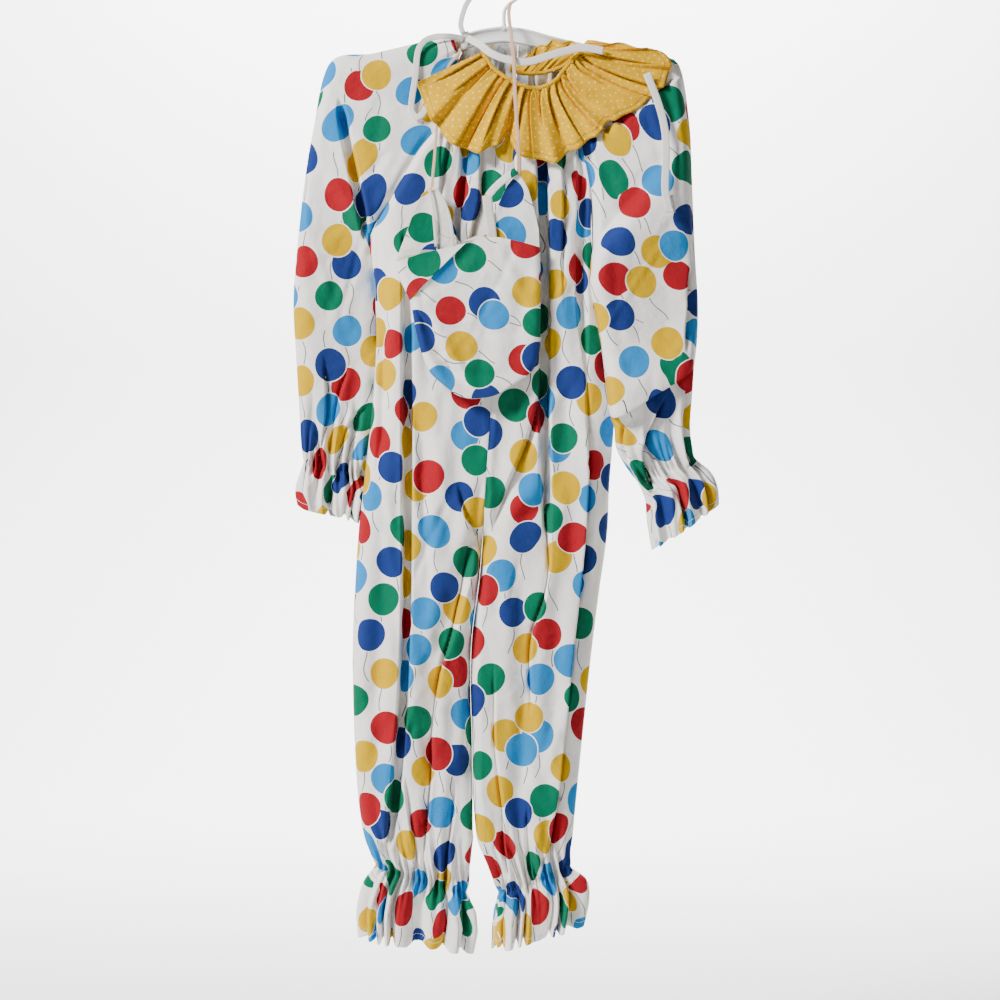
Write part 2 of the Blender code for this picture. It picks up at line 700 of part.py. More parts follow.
# A soft cone hung upside down by its two side corners, flat: sections from its mouth to its tip.
HAT = table(
    "left_x left_z right_x right_z depth",
    (-135, -370, 44, -351, 5),
    (-127, -394, 45, -385, 5.5),
    (-116, -418, 45, -420, 5.5),
    (-88, -450, 45, -455, 5.5),
    (-70, -484, 43, -482, 5),
    (-50, -510, 32, -508, 4.5),
    (-44, -541, 4, -531, 3.5),
)
HAT_Y = -45  # the hat's middle, in front of the chest
# The front's mouth edge stands above its straight line by this much.
HAT_LIP = table("w rise", (0, 0), (0.19, 8), (0.41, 12), (0.56, 22), (0.73, 17), (0.87, 9), (1, 0))
# The back reaches up to the two corners that hang from the elastics, and dips between them.
HAT_TOP = table(
    "x z",
    (-121, -333),
    (-111, -305),
    (-101, -284),
    (-89, -276),
    (-78, -287),
    (-69, -306),
    (-63, -332),
    (-50, -350),
    (-32, -354),
    (-20, -338),
    (-12, -308),
    (4, -274),
    (18, -257),
    (30, -278),
    (38, -306),
    (43, -330),
)
HAT_COLUMNS = 15


def hat_section(s, columns, facing, lip=0.0):
    inner = np.array([at(HAT["left_x"], s), at(HAT["left_z"], s)])
    outer = np.array([at(HAT["right_x"], s), at(HAT["right_z"], s)])
    length = np.linalg.norm(outer - inner)
    depth, turning = at(HAT["depth"], s), 9 / length
    row = section(
        inner,
        outer,
        columns,
        lambda w: depth * rounded(w, SEAM / depth, SEAM / depth, turning, turning),
        lambda w: HAT_Y,
        lambda w: 0.0,
        facing,
    )
    row[:, 2] += lip * np.interp(columns, HAT_LIP["w"], HAT_LIP["rise"])
    return row


def hat():
    columns = np.linspace(0, 1, HAT_COLUMNS + 1)
    last = len(HAT["left_x"]) - 1
    sections = [0, 0.5, *range(1, last + 1)]
    left, right = (-1, 0, 0), (1, 0, 0)
    front = [hat_section(s, columns, -1, 1 - ramp(s, 0, 1.2))[::-1] for s in sections]
    points, faces = wall(front, CLOTH, [right] * len(front), [left] * len(front))
    make_object("hat_front", points, faces, COTTON, 0.85)

    back = [hat_section(s, columns, 1) for s in sections]
    top = np.array([(x, HAT_Y + 4.5, z) for x, z in zip(HAT_TOP["x"], HAT_TOP["z"])])
    middle = (top + back[0]) / 2
    middle[:, 1] = HAT_Y + 5.0
    back = [top, middle] + back
    sides = [None, None] + [left] * len(front), [None, None] + [right] * len(front)
    points, faces = wall(back, CLOTH, *sides)
    make_object("hat_back", points, faces, COTTON, 0.85)


# ---------------------------------------------------------------- tapes, elastics and cords


def strip(name, route, count, width_direction, width, thickness, colour):
    points, faces = swept(smooth_path(route, count), width_direction, width, thickness)
    return make_object(name, points, faces, colour, 0.8)


HAT_CORD_LEFT = [
    (-56.5, -4.9, -88),
    (-56.5, -5.2, -96),
    (-55.2, -11, -101.5),
    (-55.5, -17, -106),
    (-61, -19, -113),
    (-69, -19.6, -124),
    (-74, -20.5, -142),
    (-78, -21.5, -165),
    (-83, -25, -195),
    (-86, -33, -238),
    (-87.5, -38.5, -256),
    (-88.5, -42.2, -270),
    (-89, -42.6, -277),
    (-89, -42.6, -283),
]
HAT_CORD_RIGHT = [
    (8.5, -3.4, -41.5),
    (7, -4.2, -47),
    (6, -10, -58),
    (8.5, -29, -84),
    (12, -44, -120),
    (14, -49.5, -170),
    (17, -51, -215),
    (18, -46, -240),
    (18, -42.7, -254),
    (18, -42.5, -262),
]
TIE_TOP = [
    (-51, -7.4, -80),
    (-54, -7.4, -68),
    (-48, -5, -46),
    (-39, -3, -32),
    (-32, -1.5, -22),
    (-28.2, -0.5, -16.5),
]
TIE_FRONT = [
    (-46, -7.4, -86),
    (-37, -15, -92),
    (-28, -26, -99),
    (-16, -36, -110),
    (4, -39, -118),
    (28, -39, -121),
    (56, -38, -113),
    (80, -36, -106),
    (98, -36, -103),
    (123, -36, -107),
]
TIE_LEFT = [
    (-50.2, -7.3, -88),
    (-58, -10.4, -86),
    (-72, -16.3, -85.5),
    (-86, -17, -86.5),
    (-99, -19, -92),
    (-107, -21, -106),
    (-110, -22, -136),
    (-114, -23, -162),
    (-115, -23, -178),
    (-109, -24, -187),
    (-101, -24, -183),
    (-97, -23.5, -174),
]
TIE_RIGHT = [
    (176, -44, -136),
    (187, -45, -164),
    (195, -46, -190),
    (199, -50, -216),
    (199, -54, -248),
    (198, -56, -280),
    (202, -57, -302),
    (205, -55, -309),
    (206, -52.5, -303),
    (203, -51.5, -288),
]
HAT_ELASTIC = [(-14, -43.5, -344), (-16, -43.4, -325), (-19, -43.4, -306), (-21, -43.4, -287)]
SIDEWAYS = (1, 0, 0)
KNOT = (-53.9, -44.4)


def fasteners():
    strip("hat_cord_left", HAT_CORD_LEFT, 30, SIDEWAYS, ELASTIC_WIDTH * 0.8, TAPE_THICKNESS, PEACH)
    strip("hat_cord_right", HAT_CORD_RIGHT, 26, SIDEWAYS, ELASTIC_WIDTH, TAPE_THICKNESS, PEACH)
    strip("tie_top", TIE_TOP, 14, None, TAPE_WIDTH * 0.7, TAPE_THICKNESS, TAPE)
    strip("tie_front", TIE_FRONT, 26, None, TAPE_WIDTH, TAPE_THICKNESS, TAPE)
    strip("tie_left", TIE_LEFT, 30, None, TAPE_WIDTH * 0.8, TAPE_THICKNESS, TAPE)
    strip("tie_right", TIE_RIGHT, 24, SIDEWAYS, TAPE_WIDTH, TAPE_THICKNESS, TAPE)
    strip("hat_elastic", HAT_ELASTIC, 8, SIDEWAYS, HAT_ELASTIC_WIDTH, 2, TAPE)


def knot():
    """The tape's turn round the hanger's bar, between x = KNOT[0] and KNOT[1]."""
    half = HANGER["thick"][0] / 2 + 6 * SEAM
    points, faces = [], []
    for x in KNOT:
        top = np.interp(-x, HANGER["x"], HANGER["top"]) + SEAM
        foot = top - np.interp(-x, HANGER["x"], HANGER["height"]) - 2 * SEAM
        for grow in (0.0, TAPE_THICKNESS):
            low, high = foot - grow, top + grow
            out = half + grow
            points += [(x, -out, low), (x, -out, high), (x, out, high), (x, out, low)]
    # Points 0-3 are inner and 4-7 outer at one side of the tape, 8-11 and 12-15 at the other.
    for k in range(4):
        n = (k + 1) % 4
        inner, outer = (k, k + 8, n + 8, n), (k + 4, n + 4, n + 12, k + 12)
        near, far = (k, n, n + 4, k + 4), (k + 8, k + 12, n + 12, n + 8)
        for a, b, c, d in (inner, outer, near, far):
            faces += [(a, c, b), (a, d, c)]
    return make_object("tie_knot", np.array(points), faces, TAPE, 0.8)


# ---------------------------------------------------------------- colours

COTTON = (0.86, 0.84, 0.80)
YELLOW = (0.82, 0.50, 0.02)
TAPE = (0.88, 0.87, 0.84)
PEACH = (0.84, 0.62, 0.46)
PLASTIC = (0.90, 0.91, 0.91)


def main():
    for old in list(bpy.data.objects):
        bpy.data.objects.remove(old, do_unlink=True)
    for side in (-1, 1):
        for face in ("front", "back"):
            body_piece(face, side)
        sleeve_piece(side)
    hanger()
    ruff()
    ruff_casing()
    hat()
    fasteners()
    knot()


main()
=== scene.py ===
# %% [markdown]
# # A clown costume on its hanger
# The costume is a one-piece suit of thin printed cotton with raglan sleeves, elastic at the wrists
# and ankles with a ruffle below each, and a separate gathered collar and soft hat. This lesson
# dresses its plain solids: cloth as thin shells with folds, a printed pattern made of shader
# nodes, sewing made by Geometry Nodes. Everything is in metres, but the tables are in
# millimetres, as a pattern cutter would write them.

# %% Load the frame
import math
from functools import partial

import bmesh
import bpy
import numpy as np
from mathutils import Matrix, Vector


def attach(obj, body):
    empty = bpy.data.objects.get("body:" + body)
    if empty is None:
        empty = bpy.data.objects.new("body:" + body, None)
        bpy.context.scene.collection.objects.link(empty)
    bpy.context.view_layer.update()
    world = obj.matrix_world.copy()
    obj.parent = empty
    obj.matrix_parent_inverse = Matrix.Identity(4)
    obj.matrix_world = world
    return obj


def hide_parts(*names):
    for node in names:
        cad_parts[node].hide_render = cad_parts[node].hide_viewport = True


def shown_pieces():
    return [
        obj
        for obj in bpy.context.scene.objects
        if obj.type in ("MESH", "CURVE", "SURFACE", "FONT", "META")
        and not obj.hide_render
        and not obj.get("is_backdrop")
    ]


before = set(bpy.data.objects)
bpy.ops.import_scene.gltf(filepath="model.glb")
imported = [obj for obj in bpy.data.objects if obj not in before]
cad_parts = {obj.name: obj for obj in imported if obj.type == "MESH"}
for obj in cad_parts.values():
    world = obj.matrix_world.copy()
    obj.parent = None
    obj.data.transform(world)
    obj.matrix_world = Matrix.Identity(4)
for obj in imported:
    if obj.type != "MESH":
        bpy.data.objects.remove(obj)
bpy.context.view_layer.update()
MM = 0.001

# %% [markdown]
# ## Camera, light and floor
# A garment hung flat is best seen straight from the front, with a long lens, so that its sides
# aren't foreshortened. One strong light from the upper left shades every fold on the same side,
# a weak one from the right keeps the shade open, and a third lights only the wall behind, so
# the backdrop stays white. A white paper floor that curves up into a wall is the backdrop.

# %% Camera, light and floor
scene = bpy.context.scene
VIEW_CENTRE = (-5 * MM, -662.5 * MM)  # x and z in the middle of the view
VIEW_WIDTH = 1.25
CAMERA_DISTANCE = 3.4
SENSOR = 36
WORLD_LIGHT = 0.07
# name, place, what it points at, size in metres, power in watts
LIGHTS = (
    ("key", (-2.9, -2.3, 1.9), (0, 0, -0.65), 1.0, 420),
    ("fill", (2.6, -2.8, 0.2), (0, 0, -0.7), 2.0, 12),
    ("wall", (0, 3.1, 2.3), (0, 5.0, -0.9), 3.4, 1480),
)
# the paper, in metres: the floor's height and front edge, the wall's place and top, the radius
# of the curve between them and half the width
FLOOR_Z, FLOOR_FRONT, WALL_Y, WALL_TOP, CURVE, HALF_WIDTH = -1.42, -20.0, 5.0, 4.5, 1.2, 16.0
CURVE_STEPS = 12


def placed(name, data):
    """An object that shows data, in the scene."""
    made = bpy.data.objects.new(name, data)
    scene.collection.objects.link(made)
    return made


def camera():
    data = bpy.data.cameras.new("camera")
    data.sensor_width = data.sensor_height = SENSOR
    data.sensor_fit = "HORIZONTAL"
    data.lens = SENSOR * CAMERA_DISTANCE / VIEW_WIDTH
    scene.camera = placed("camera", data)
    scene.camera.location = (VIEW_CENTRE[0], -CAMERA_DISTANCE, VIEW_CENTRE[1])
    scene.camera.rotation_euler = (math.pi / 2, 0, 0)


def area_light(name, place, target, size, power):
    data = bpy.data.lights.new(name, "AREA")
    data.shape, data.size, data.energy = "SQUARE", size, power
    light = placed(name, data)
    light.location = place
    light.rotation_euler = (Vector(target) - Vector(place)).to_track_quat("-Z", "Y").to_euler()


def srgb(text):
    """A hex colour as linear RGBA."""
    parts = [int(text[i : i + 2], 16) / 255 for i in (1, 3, 5)]
    parts = [c / 12.92 if c <= 0.04045 else ((c + 0.055) / 1.055) ** 2.4 for c in parts]
    return (*parts, 1.0)


def feed(made, inputs):
    """Sets or links a node's inputs, given in order or as a table by socket. A node among them
    stands for its first output in use."""
    for key, value in (inputs if isinstance(inputs, dict) else dict(enumerate(inputs))).items():
        if isinstance(value, bpy.types.Node):
            value = next(output for output in value.outputs if output.enabled)
        if isinstance(value, bpy.types.NodeSocket):
            made.id_data.links.new(value, made.inputs[key])
        else:
            made.inputs[key].default_value = value


def node(tree, kind, inputs=(), **settings):
    """Adds a node. kind may end in its operation or a mix's type, as in "Math SINE"."""
    kind, _, choice = kind.partition(" ")
    if choice:
        settings["data_type" if kind == "Mix" else "operation"] = choice
    full = kind.startswith(("Node", "Geometry", "Function"))
    made = tree.nodes.new(kind if full else "ShaderNode" + kind)
    for key, value in settings.items():
        setattr(made, key, value)
    feed(made, inputs)
    return made


def new_material(name, roughness, **inputs):
    """A material, a function that adds nodes to it, and its shader."""
    made = bpy.data.materials.new(name)
    made.use_nodes = True
    shader = made.node_tree.nodes["Principled BSDF"]
    feed(shader, {"Roughness": roughness} | {key.replace("_", " "): v for key, v in inputs.items()})
    return made, partial(node, made.node_tree), shader


def backdrop():
    """A floor that curves up into a wall."""
    profile = [(FLOOR_FRONT, FLOOR_Z), (WALL_Y - CURVE, FLOOR_Z)]
    for k in range(1, CURVE_STEPS + 1):
        a = k / CURVE_STEPS * math.pi / 2
        profile.append((WALL_Y - CURVE + CURVE * math.sin(a), FLOOR_Z + CURVE * (1 - math.cos(a))))
    profile.append((WALL_Y, WALL_TOP))
    points = [(x, y, z) for y, z in profile for x in (-HALF_WIDTH, HALF_WIDTH)]
    faces = [(2 * k, 2 * k + 1, 2 * k + 3, 2 * k + 2) for k in range(len(profile) - 1)]
    mesh = bpy.data.meshes.new("studio_floor")
    mesh.from_pydata(points, [], faces)
    mesh.shade_smooth()
    floor = placed("studio_floor", mesh)
    paper, _, shader = new_material("matt white studio paper", 0.9)
    feed(shader, {"Base Color": srgb("#CCCCCB")})
    mesh.materials.append(paper)
    floor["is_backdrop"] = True


def studio_light():
    scene.world = bpy.data.worlds.new("studio")
    scene.world.use_nodes = True
    sky = scene.world.node_tree.nodes["Background"]
    feed(sky, {"Color": (1, 1, 1, 1), "Strength": WORLD_LIGHT})
    for light in LIGHTS:
        area_light(*light)


camera()
backdrop()
studio_light()
print("camera at", tuple(round(c, 3) for c in scene.camera.location))

# %% [markdown]
# ## Tables and curves
# Cloth is drawn here from sections. A section crosses a piece from its inner edge (w = 0) to its
# outer edge (w = 1), and s counts the sections of a table, with fractions between them. All the
# helpers take whole arrays of points at once, which keeps fine meshes quick.

# %% Tables and curves


def table(names, *rows):
    """Rows of numbers as named columns."""
    return dict(zip(names.split(), np.array(rows, float).T, strict=True))


def trail(text):
    """Points written as numbers in a line of text, a comma after each point."""
    return np.array([point.split() for point in text.split(",")], float)


def at(column, s):
    """A column's value at s, on a smooth curve through its rows."""
    s = np.asarray(s, float)
    i = np.clip(np.floor(s).astype(int), 0, len(column) - 2)
    t = s - i
    before, start, end = column[np.maximum(i - 1, 0)], column[i], column[i + 1]
    after = column[np.minimum(i + 2, len(column) - 1)]
    second = 2 * before - 5 * start + 4 * end - after
    third = 3 * (start - end) + after - before
    return start + 0.5 * t * (end - before + t * (second + t * third))


def ramp(x, low, high):
    """0 below low, 1 above high, and a soft step between."""
    t = np.clip((np.asarray(x, float) - low) / (high - low), 0.0, 1.0)
    return t * t * (3 - 2 * t)


def unit(vectors):
    return vectors / np.maximum(np.linalg.norm(vectors, axis=-1, keepdims=True), 1e-12)


def run_length(points):
    """Distance along rows of points, starting at 0."""
    steps = np.linalg.norm(np.diff(points, axis=-2), axis=-1)
    return np.concatenate([np.zeros_like(steps[..., :1]), np.cumsum(steps, axis=-1)], axis=-1)


def smooth_path(points, count):
    """count points, evenly far apart, on a smooth curve through the given ones."""
    points = np.array(points, float)
    s = np.linspace(0, len(points) - 1, 300)
    fine = np.stack([at(column, s) for column in points.T], axis=1)
    run = run_length(fine)
    even = np.linspace(0, run[-1], count)
    return np.stack([np.interp(even, run, column) for column in fine.T], axis=1)

# %% [markdown]
# ## The printed cotton
# The suit is sewn from one thin cotton, roller-printed with balloons in five flat inks on white.
# Ink sits in the yarn, so it has no gloss of its own. The pattern is a rule, not a picture: the
# cloth is divided into cells, each cell's hash gives its balloon a place, a size and an ink, and
# a second set of cells, half a cell off, prints over the first with a thin white line round it.
# A wavy string hangs from each balloon into the cell below, so each point looks at two cells of
# each set. Coordinates are the flat cloth's own, in metres, so folds and gathers hide parts of
# balloons as they would in cloth.

# %% The balloon print as a node group
CELL = (0.0655, 0.0690)  # one set's cells, metres
BALLOON_RADIUS = 0.0182
INKS = ((0.0, "#9E1823"), (0.18, "#CEA400"), (0.42, "#04684A"), (0.6, "#203474"), (0.8, "#2380C0"))
CLOTH_WHITE = "#F3F1EE"
STRING_INK = "#30384C"
# a balloon's place in its cell is START plus a random share of SPREAD, in cells
START, SPREAD = (0.29, 0.27, 0.0), (0.42, 0.46, 0.0)
TILT = 0.45  # radians to either side
SMALLEST, SIZE_SPREAD = 0.95, 0.14
TAPER, SQUASH = -0.07, 0.94  # what makes the round an egg
WHITE_LINE = 1.07  # the outer edge of the unprinted line round a balloon, in its radii
# the strings, in balloon radii: where they start, their length, width, sway and waves
STRING_TOP, STRING_LENGTH, LENGTH_SPREAD = -0.9, -2.2, -1.5
STRING_HALF_WIDTH, SWAY, WAVES = 0.031, 0.17, 1.7
INK_STEPS, INK_CHANCE = (0.4, 0.2, 0.0286), 0.225
# the two sets of cells: the second is shifted by half a cell and has other random numbers
SET_SHIFTS = ((0.0, 0.0, 0.0), (0.5, 0.5, 7.0))


def new_group(name, kind, *sockets):
    """A node group with the named inputs and outputs, and a function that adds nodes to it."""
    tree = bpy.data.node_groups.new(name, kind)
    for way, sort, names in sockets:
        for socket in names.split():
            tree.interface.new_socket(socket, in_out=way, socket_type="NodeSocket" + sort)
    return tree, partial(node, tree)


def cell_group():
    """For a point in cells: how far it is from one cell's balloon, that cell's ink number, and
    whether it is on that balloon's string."""
    sockets = (("INPUT", "Vector", "Point Offset"), ("OUTPUT", "Float", "Distance Ink String"))
    tree, add = new_group("balloon and string", "ShaderNodeTree", *sockets)
    start = add("NodeGroupInput").outputs
    cell = add("VectorMath ADD", [add("VectorMath FLOOR", [start["Point"]]), start["Offset"]])
    hashed = add("TexWhiteNoise", {"Vector": cell}, noise_dimensions="3D").outputs["Color"]
    other = add("VectorMath ADD", [cell, (31.7, 11.3, 5.1)])
    extra = add("TexWhiteNoise", {"Vector": other}, noise_dimensions="3D").outputs
    random = add("SeparateXYZ", [extra["Color"]]).outputs
    centre = add("VectorMath ADD", [cell, add("VectorMath MULTIPLY_ADD", [hashed, SPREAD, START])])
    scale = (CELL[0] / BALLOON_RADIUS, CELL[1] / BALLOON_RADIUS, 0)
    away = add("VectorMath MULTIPLY", [add("VectorMath SUBTRACT", [start["Point"], centre]), scale])
    tilt = add("Math MULTIPLY_ADD", [extra["Value"], 2 * TILT, -TILT])
    turned = add("VectorRotate", {"Vector": away, "Angle": tilt}, rotation_type="Z_AXIS")
    # an egg: a little wider above its middle, a little longer than wide
    x, y = add("SeparateXYZ", [turned]).outputs[:2]
    egg_x = add("Math MULTIPLY", [x, add("Math MULTIPLY_ADD", [y, TAPER, 1.0])])
    egg_y = add("Math MULTIPLY", [y, SQUASH])
    square = add("Math MULTIPLY_ADD", [egg_x, egg_x, add("Math MULTIPLY", [egg_y, egg_y])])
    size = add("Math MULTIPLY_ADD", [random[1], SIZE_SPREAD, SMALLEST])
    distance = add("Math DIVIDE", [add("Math SQRT", [square]), size])
    # the string: from the balloon's foot down, two gentle waves
    aside, beneath = add("SeparateXYZ", [away]).outputs[:2]
    below = add("Math LESS_THAN", [beneath, STRING_TOP])
    end = add("Math MULTIPLY_ADD", [random[0], LENGTH_SPREAD, STRING_LENGTH])
    phase = add("Math MULTIPLY", [extra["Value"], 40.0])
    wave = add("Math SINE", [add("Math MULTIPLY_ADD", [beneath, WAVES, phase])])
    sway = add("Math MULTIPLY", [add("Math ADD", [beneath, 1.0]), wave])
    side = add("Math MULTIPLY_ADD", [sway, SWAY, add("Math ADD", [aside, tilt])])
    thin = add("Math LESS_THAN", [add("Math ABSOLUTE", [side]), STRING_HALF_WIDTH])
    short = add("Math MULTIPLY", [below, add("Math GREATER_THAN", [beneath, end])])
    string = add("Math MULTIPLY", [thin, short])
    # neighbours differ: the ink steps along the rows and columns, with a little chance
    steps = add("VectorMath DOT_PRODUCT", [cell, INK_STEPS])
    chance = add("SeparateXYZ", [hashed]).outputs[2]
    ink = add("Math FRACT", [add("Math MULTIPLY_ADD", [chance, INK_CHANCE, steps])])
    add("NodeGroupOutput", [distance, ink, string])
    return tree


def print_group(cell):
    """The whole print's colour at a point of the flat cloth, in metres."""
    sockets = (("INPUT", "Vector", "Cloth"), ("OUTPUT", "Color", "Color"))
    tree, add = new_group("balloon print", "ShaderNodeTree", *sockets)
    cloth = add("NodeGroupInput").outputs["Cloth"]
    strings, sets = None, []
    for shift in SET_SHIFTS:
        point = add("VectorMath MULTIPLY_ADD", [cloth, (1 / CELL[0], 1 / CELL[1], 1), shift])
        own, upper = (
            add("Group", {"Point": point, "Offset": (0, row, 0)}, node_tree=cell).outputs
            for row in (0, 1)
        )
        for line in (own["String"], upper["String"]):
            strings = add("Math MAXIMUM", [strings, line]) if strings else line
        sets.append(own)
    white = srgb(CLOTH_WHITE)
    colour = add("Mix RGBA", {0: strings, 6: white, 7: srgb(STRING_INK)})
    for own in sets:
        ring = add("Math LESS_THAN", [own["Distance"], WHITE_LINE])
        colour = add("Mix RGBA", {0: ring, 6: colour, 7: white})
        inks = add("ValToRGB", [own["Ink"]])
        inks.color_ramp.interpolation = "CONSTANT"
        stops = inks.color_ramp.elements
        while len(stops) < len(INKS):
            stops.new(0.5)
        for stop, (position, ink) in zip(stops, INKS, strict=True):
            stop.position, stop.color = position, srgb(ink)
        inside = add("Math LESS_THAN", [own["Distance"], 1.0])
        colour = add("Mix RGBA", {0: inside, 6: colour, 7: inks})
    add("NodeGroupOutput", [colour])
    return tree


BALLOON_PRINT = print_group(cell_group())
print("print group nodes:", len(BALLOON_PRINT.nodes))

# %% [markdown]
# ## Materials
# Thin plain-woven cotton is matt, with a faint fuzz that lightens its edges: a high roughness and
# a little sheen. Its threads are a quarter of a millimetre apart, too fine to show, so the bump
# draws them at three times that. Small creases that are left from storage are a second, broad
# and shallow bump. The wrong side of a print shows its inks at a third of their strength.

# %% Materials
THREAD = 0.0008  # metres between threads as drawn; real ones lie 0.25 mm apart
THREAD_DEPTH, CRUMPLE_DEPTH = 0.00012, 0.0096
PIN_DOT_SPACING = 0.0088
TAPE_RIDGE, ELASTIC_RIDGE = 0.0011, 0.0016  # metres between slanting ridges
COTTON = {"Sheen_Weight": 0.02, "Specular_IOR_Level": 0.12}


def mottled(add, scale, detail, pair):
    """Two near colours in soft patches, and the noise that mixes them."""
    place = add("TexCoord").outputs["Object"]
    noise = add("TexNoise", {"Vector": place, "Scale": scale, "Detail": detail})
    return noise, add("Mix RGBA", {0: noise, 6: srgb(pair[0]), 7: srgb(pair[1])})


def weave_bump(add, cloth):
    """Crossed threads and, under them, a slow crumple."""
    threads = [
        add("TexWave", {"Vector": cloth, "Scale": 0.5 / THREAD}, bands_direction=way).outputs["Fac"]
        for way in "XY"
    ]
    threads = add("Math MAXIMUM", threads)
    place = add("TexCoord").outputs["Object"]
    rough = add("TexNoise", {"Vector": place, "Scale": 38.0, "Detail": 3.0, "Roughness": 0.55})
    first = add("Bump", {"Height": rough, "Strength": 0.35, "Distance": CRUMPLE_DEPTH})
    bump = {"Height": threads, "Strength": 0.35, "Distance": THREAD_DEPTH, "Normal": first}
    return add("Bump", bump)


def printed_cotton(name, fade):
    """fade 0 is the right side, and more lets the white through, as on the wrong side."""
    made, add, shader = new_material(name, 0.9, **COTTON)
    cloth = add("UVMap", uv_map="cloth")
    colour = add("Group", {"Cloth": cloth}, node_tree=BALLOON_PRINT)
    if fade:
        colour = add("Mix RGBA", {0: fade, 6: colour, 7: srgb("#E9E4DC")})
    # ink takes unevenly, and old white cotton yellows a little in places
    place = add("TexCoord").outputs["Object"]
    age = add("TexNoise", {"Vector": place, "Scale": 6.0, "Detail": 3.0})
    shade = add("MapRange", [age, 0.35, 0.75, 0.0, 0.35])
    aged = add("Mix RGBA", {0: shade, 6: colour, 7: srgb("#EFE6D6")}, blend_type="MULTIPLY")
    feed(shader, {"Base Color": aged, "Normal": weave_bump(add, cloth)})
    return made


def pin_dot_cotton(name, pair, dot):
    """Yellow cotton with pin dots on a diagonal grid, each a little off its place."""
    made, add, shader = new_material(name, 0.88, **COTTON)
    cloth = add("UVMap", uv_map="cloth")
    turned = {"Vector": cloth, "Angle": math.pi / 4}
    turned = add("VectorRotate", turned, rotation_type="Z_AXIS")
    cells = {"Vector": turned, "Scale": 1 / PIN_DOT_SPACING, "Randomness": 0.22}
    cells = add("TexVoronoi", cells, voronoi_dimensions="2D")
    spot = add("MapRange", [cells, 0.1, 0.165, 0.9, 0.0])
    _, ground = mottled(add, 26.0, 4.0, pair)
    colour = add("Mix RGBA", {0: spot, 6: ground, 7: srgb(dot)})
    feed(shader, {"Base Color": colour, "Normal": weave_bump(add, cloth)})
    return made


def twill_tape(name, light, groove_shade_colour, spacing):
    """A woven tape: slanting ridges across its own UV, which runs across and along it in metres."""
    made, add, shader = new_material(name, 0.78, Sheen_Weight=0.1, Specular_IOR_Level=0.3)
    x, y = add("SeparateXYZ", [add("UVMap", uv_map="cloth")]).outputs[:2]
    slant = add("Math ADD", [y, add("Math ABSOLUTE", [x])])
    ridge = add("Math SINE", [add("Math MULTIPLY", [slant, 2 * math.pi / spacing])])
    # painted light and shade: the colour is lighter on each ridge's top and darker in the groove
    # beside it
    ridge_shade = add("MapRange", [ridge, -1.0, 1.0, 0.0, 1.0])
    colour = add("Mix RGBA", {0: ridge_shade, 6: srgb(groove_shade_colour), 7: srgb(light)})
    bump = add("Bump", {"Height": ridge, "Strength": 0.4, "Distance": 0.0002})
    feed(shader, {"Base Color": colour, "Normal": bump})
    return made


def moulded_plastic(name, pair):
    made, add, shader = new_material(name, 0.28, IOR=1.59)
    smear, colour = mottled(add, 40.0, 4.0, pair)
    gloss = add("MapRange", [smear, 0.3, 0.7, 0.22, 0.4])
    bump = add("Bump", {"Height": smear, "Strength": 0.15, "Distance": 0.0004})
    feed(shader, {"Base Color": colour, "Roughness": gloss, "Normal": bump})
    return made


def sewing_thread(name, pair):
    made, add, shader = new_material(name, 0.7, Sheen_Weight=0.1)
    feed(shader, {"Base Color": mottled(add, 900.0, 1.0, pair)[1]})
    return made


# matt white cotton with flat inks; inside, the same inks paler, as they show through
PRINT = printed_cotton("printed plain-weave cotton, right side", 0.0)
PRINT_BACK = printed_cotton("printed plain-weave cotton, wrong side", 0.62)
# a warm yellow with small pale dots, a little duller inside
PIN_DOT = pin_dot_cotton("yellow pin-dot cotton", ("#E4B200", "#C29000"), "#ECCF84")
PIN_DOT_BACK = pin_dot_cotton(
    "yellow pin-dot cotton, wrong side", ("#D2A312", "#B68A08"), "#E8C36A"
)
# narrow ridges with painted light on their tops and painted shade in the grooves, finer on the tape
# than on the elastics
TWILL = twill_tape("white cotton twill tape", "#F1EFEB", "#D9D5CE", TAPE_RIDGE)
BRAID = twill_tape("peach braided elastic", "#E9C4A6", "#C99B7C", ELASTIC_RIDGE)
WHITE_ELASTIC = twill_tape("white woven elastic", "#EEEAE3", "#CFC8BD", ELASTIC_RIDGE)
# the only gloss in the whole piece, dulled in smears by handling
PLASTIC = moulded_plastic("moulded white polystyrene", ("#F2F3F3", "#E6E8E9"))
# small bright beads on the hems, gold ones on the yellow
WHITE_THREAD = sewing_thread("white polyester sewing thread", ("#F4F2EE", "#D8D4CC"))
YELLOW_THREAD = sewing_thread("gold polyester sewing thread", ("#A9740C", "#8E6008"))
print("materials:", len(bpy.data.materials))

# %% [markdown]
# ## From sections to cloth
# A grid of points becomes one shell: the outer face, and by a Solidify modifier the same face
# again half a millimetre inside, with the print's wrong side. The UV map holds the flat cloth's
# own measure in metres, so the print has its true size on every piece.

# %% From sections to cloth
CLOTH_THICKNESS = 0.5
CLOTH = 1.2  # the solids' wall
SEAM = 0.12


def grid_faces(rows, columns):
    a = (np.arange(rows - 1)[:, None] * columns + np.arange(columns - 1)[None]).ravel()
    return np.stack([a, a + 1, a + columns + 1, a + columns], axis=1)


def finished(name, mesh, uv, materials):
    """The object of a mesh, with a UV for each of its points."""
    loops = np.zeros(len(mesh.loops), np.int32)
    mesh.loops.foreach_get("vertex_index", loops)
    layer = mesh.uv_layers.new(name="cloth")
    layer.data.foreach_set("uv", np.asarray(uv, float)[loops].ravel())
    mesh.validate()
    mesh.shade_smooth()
    for material in materials:
        mesh.materials.append(material)
    return placed(name, mesh)


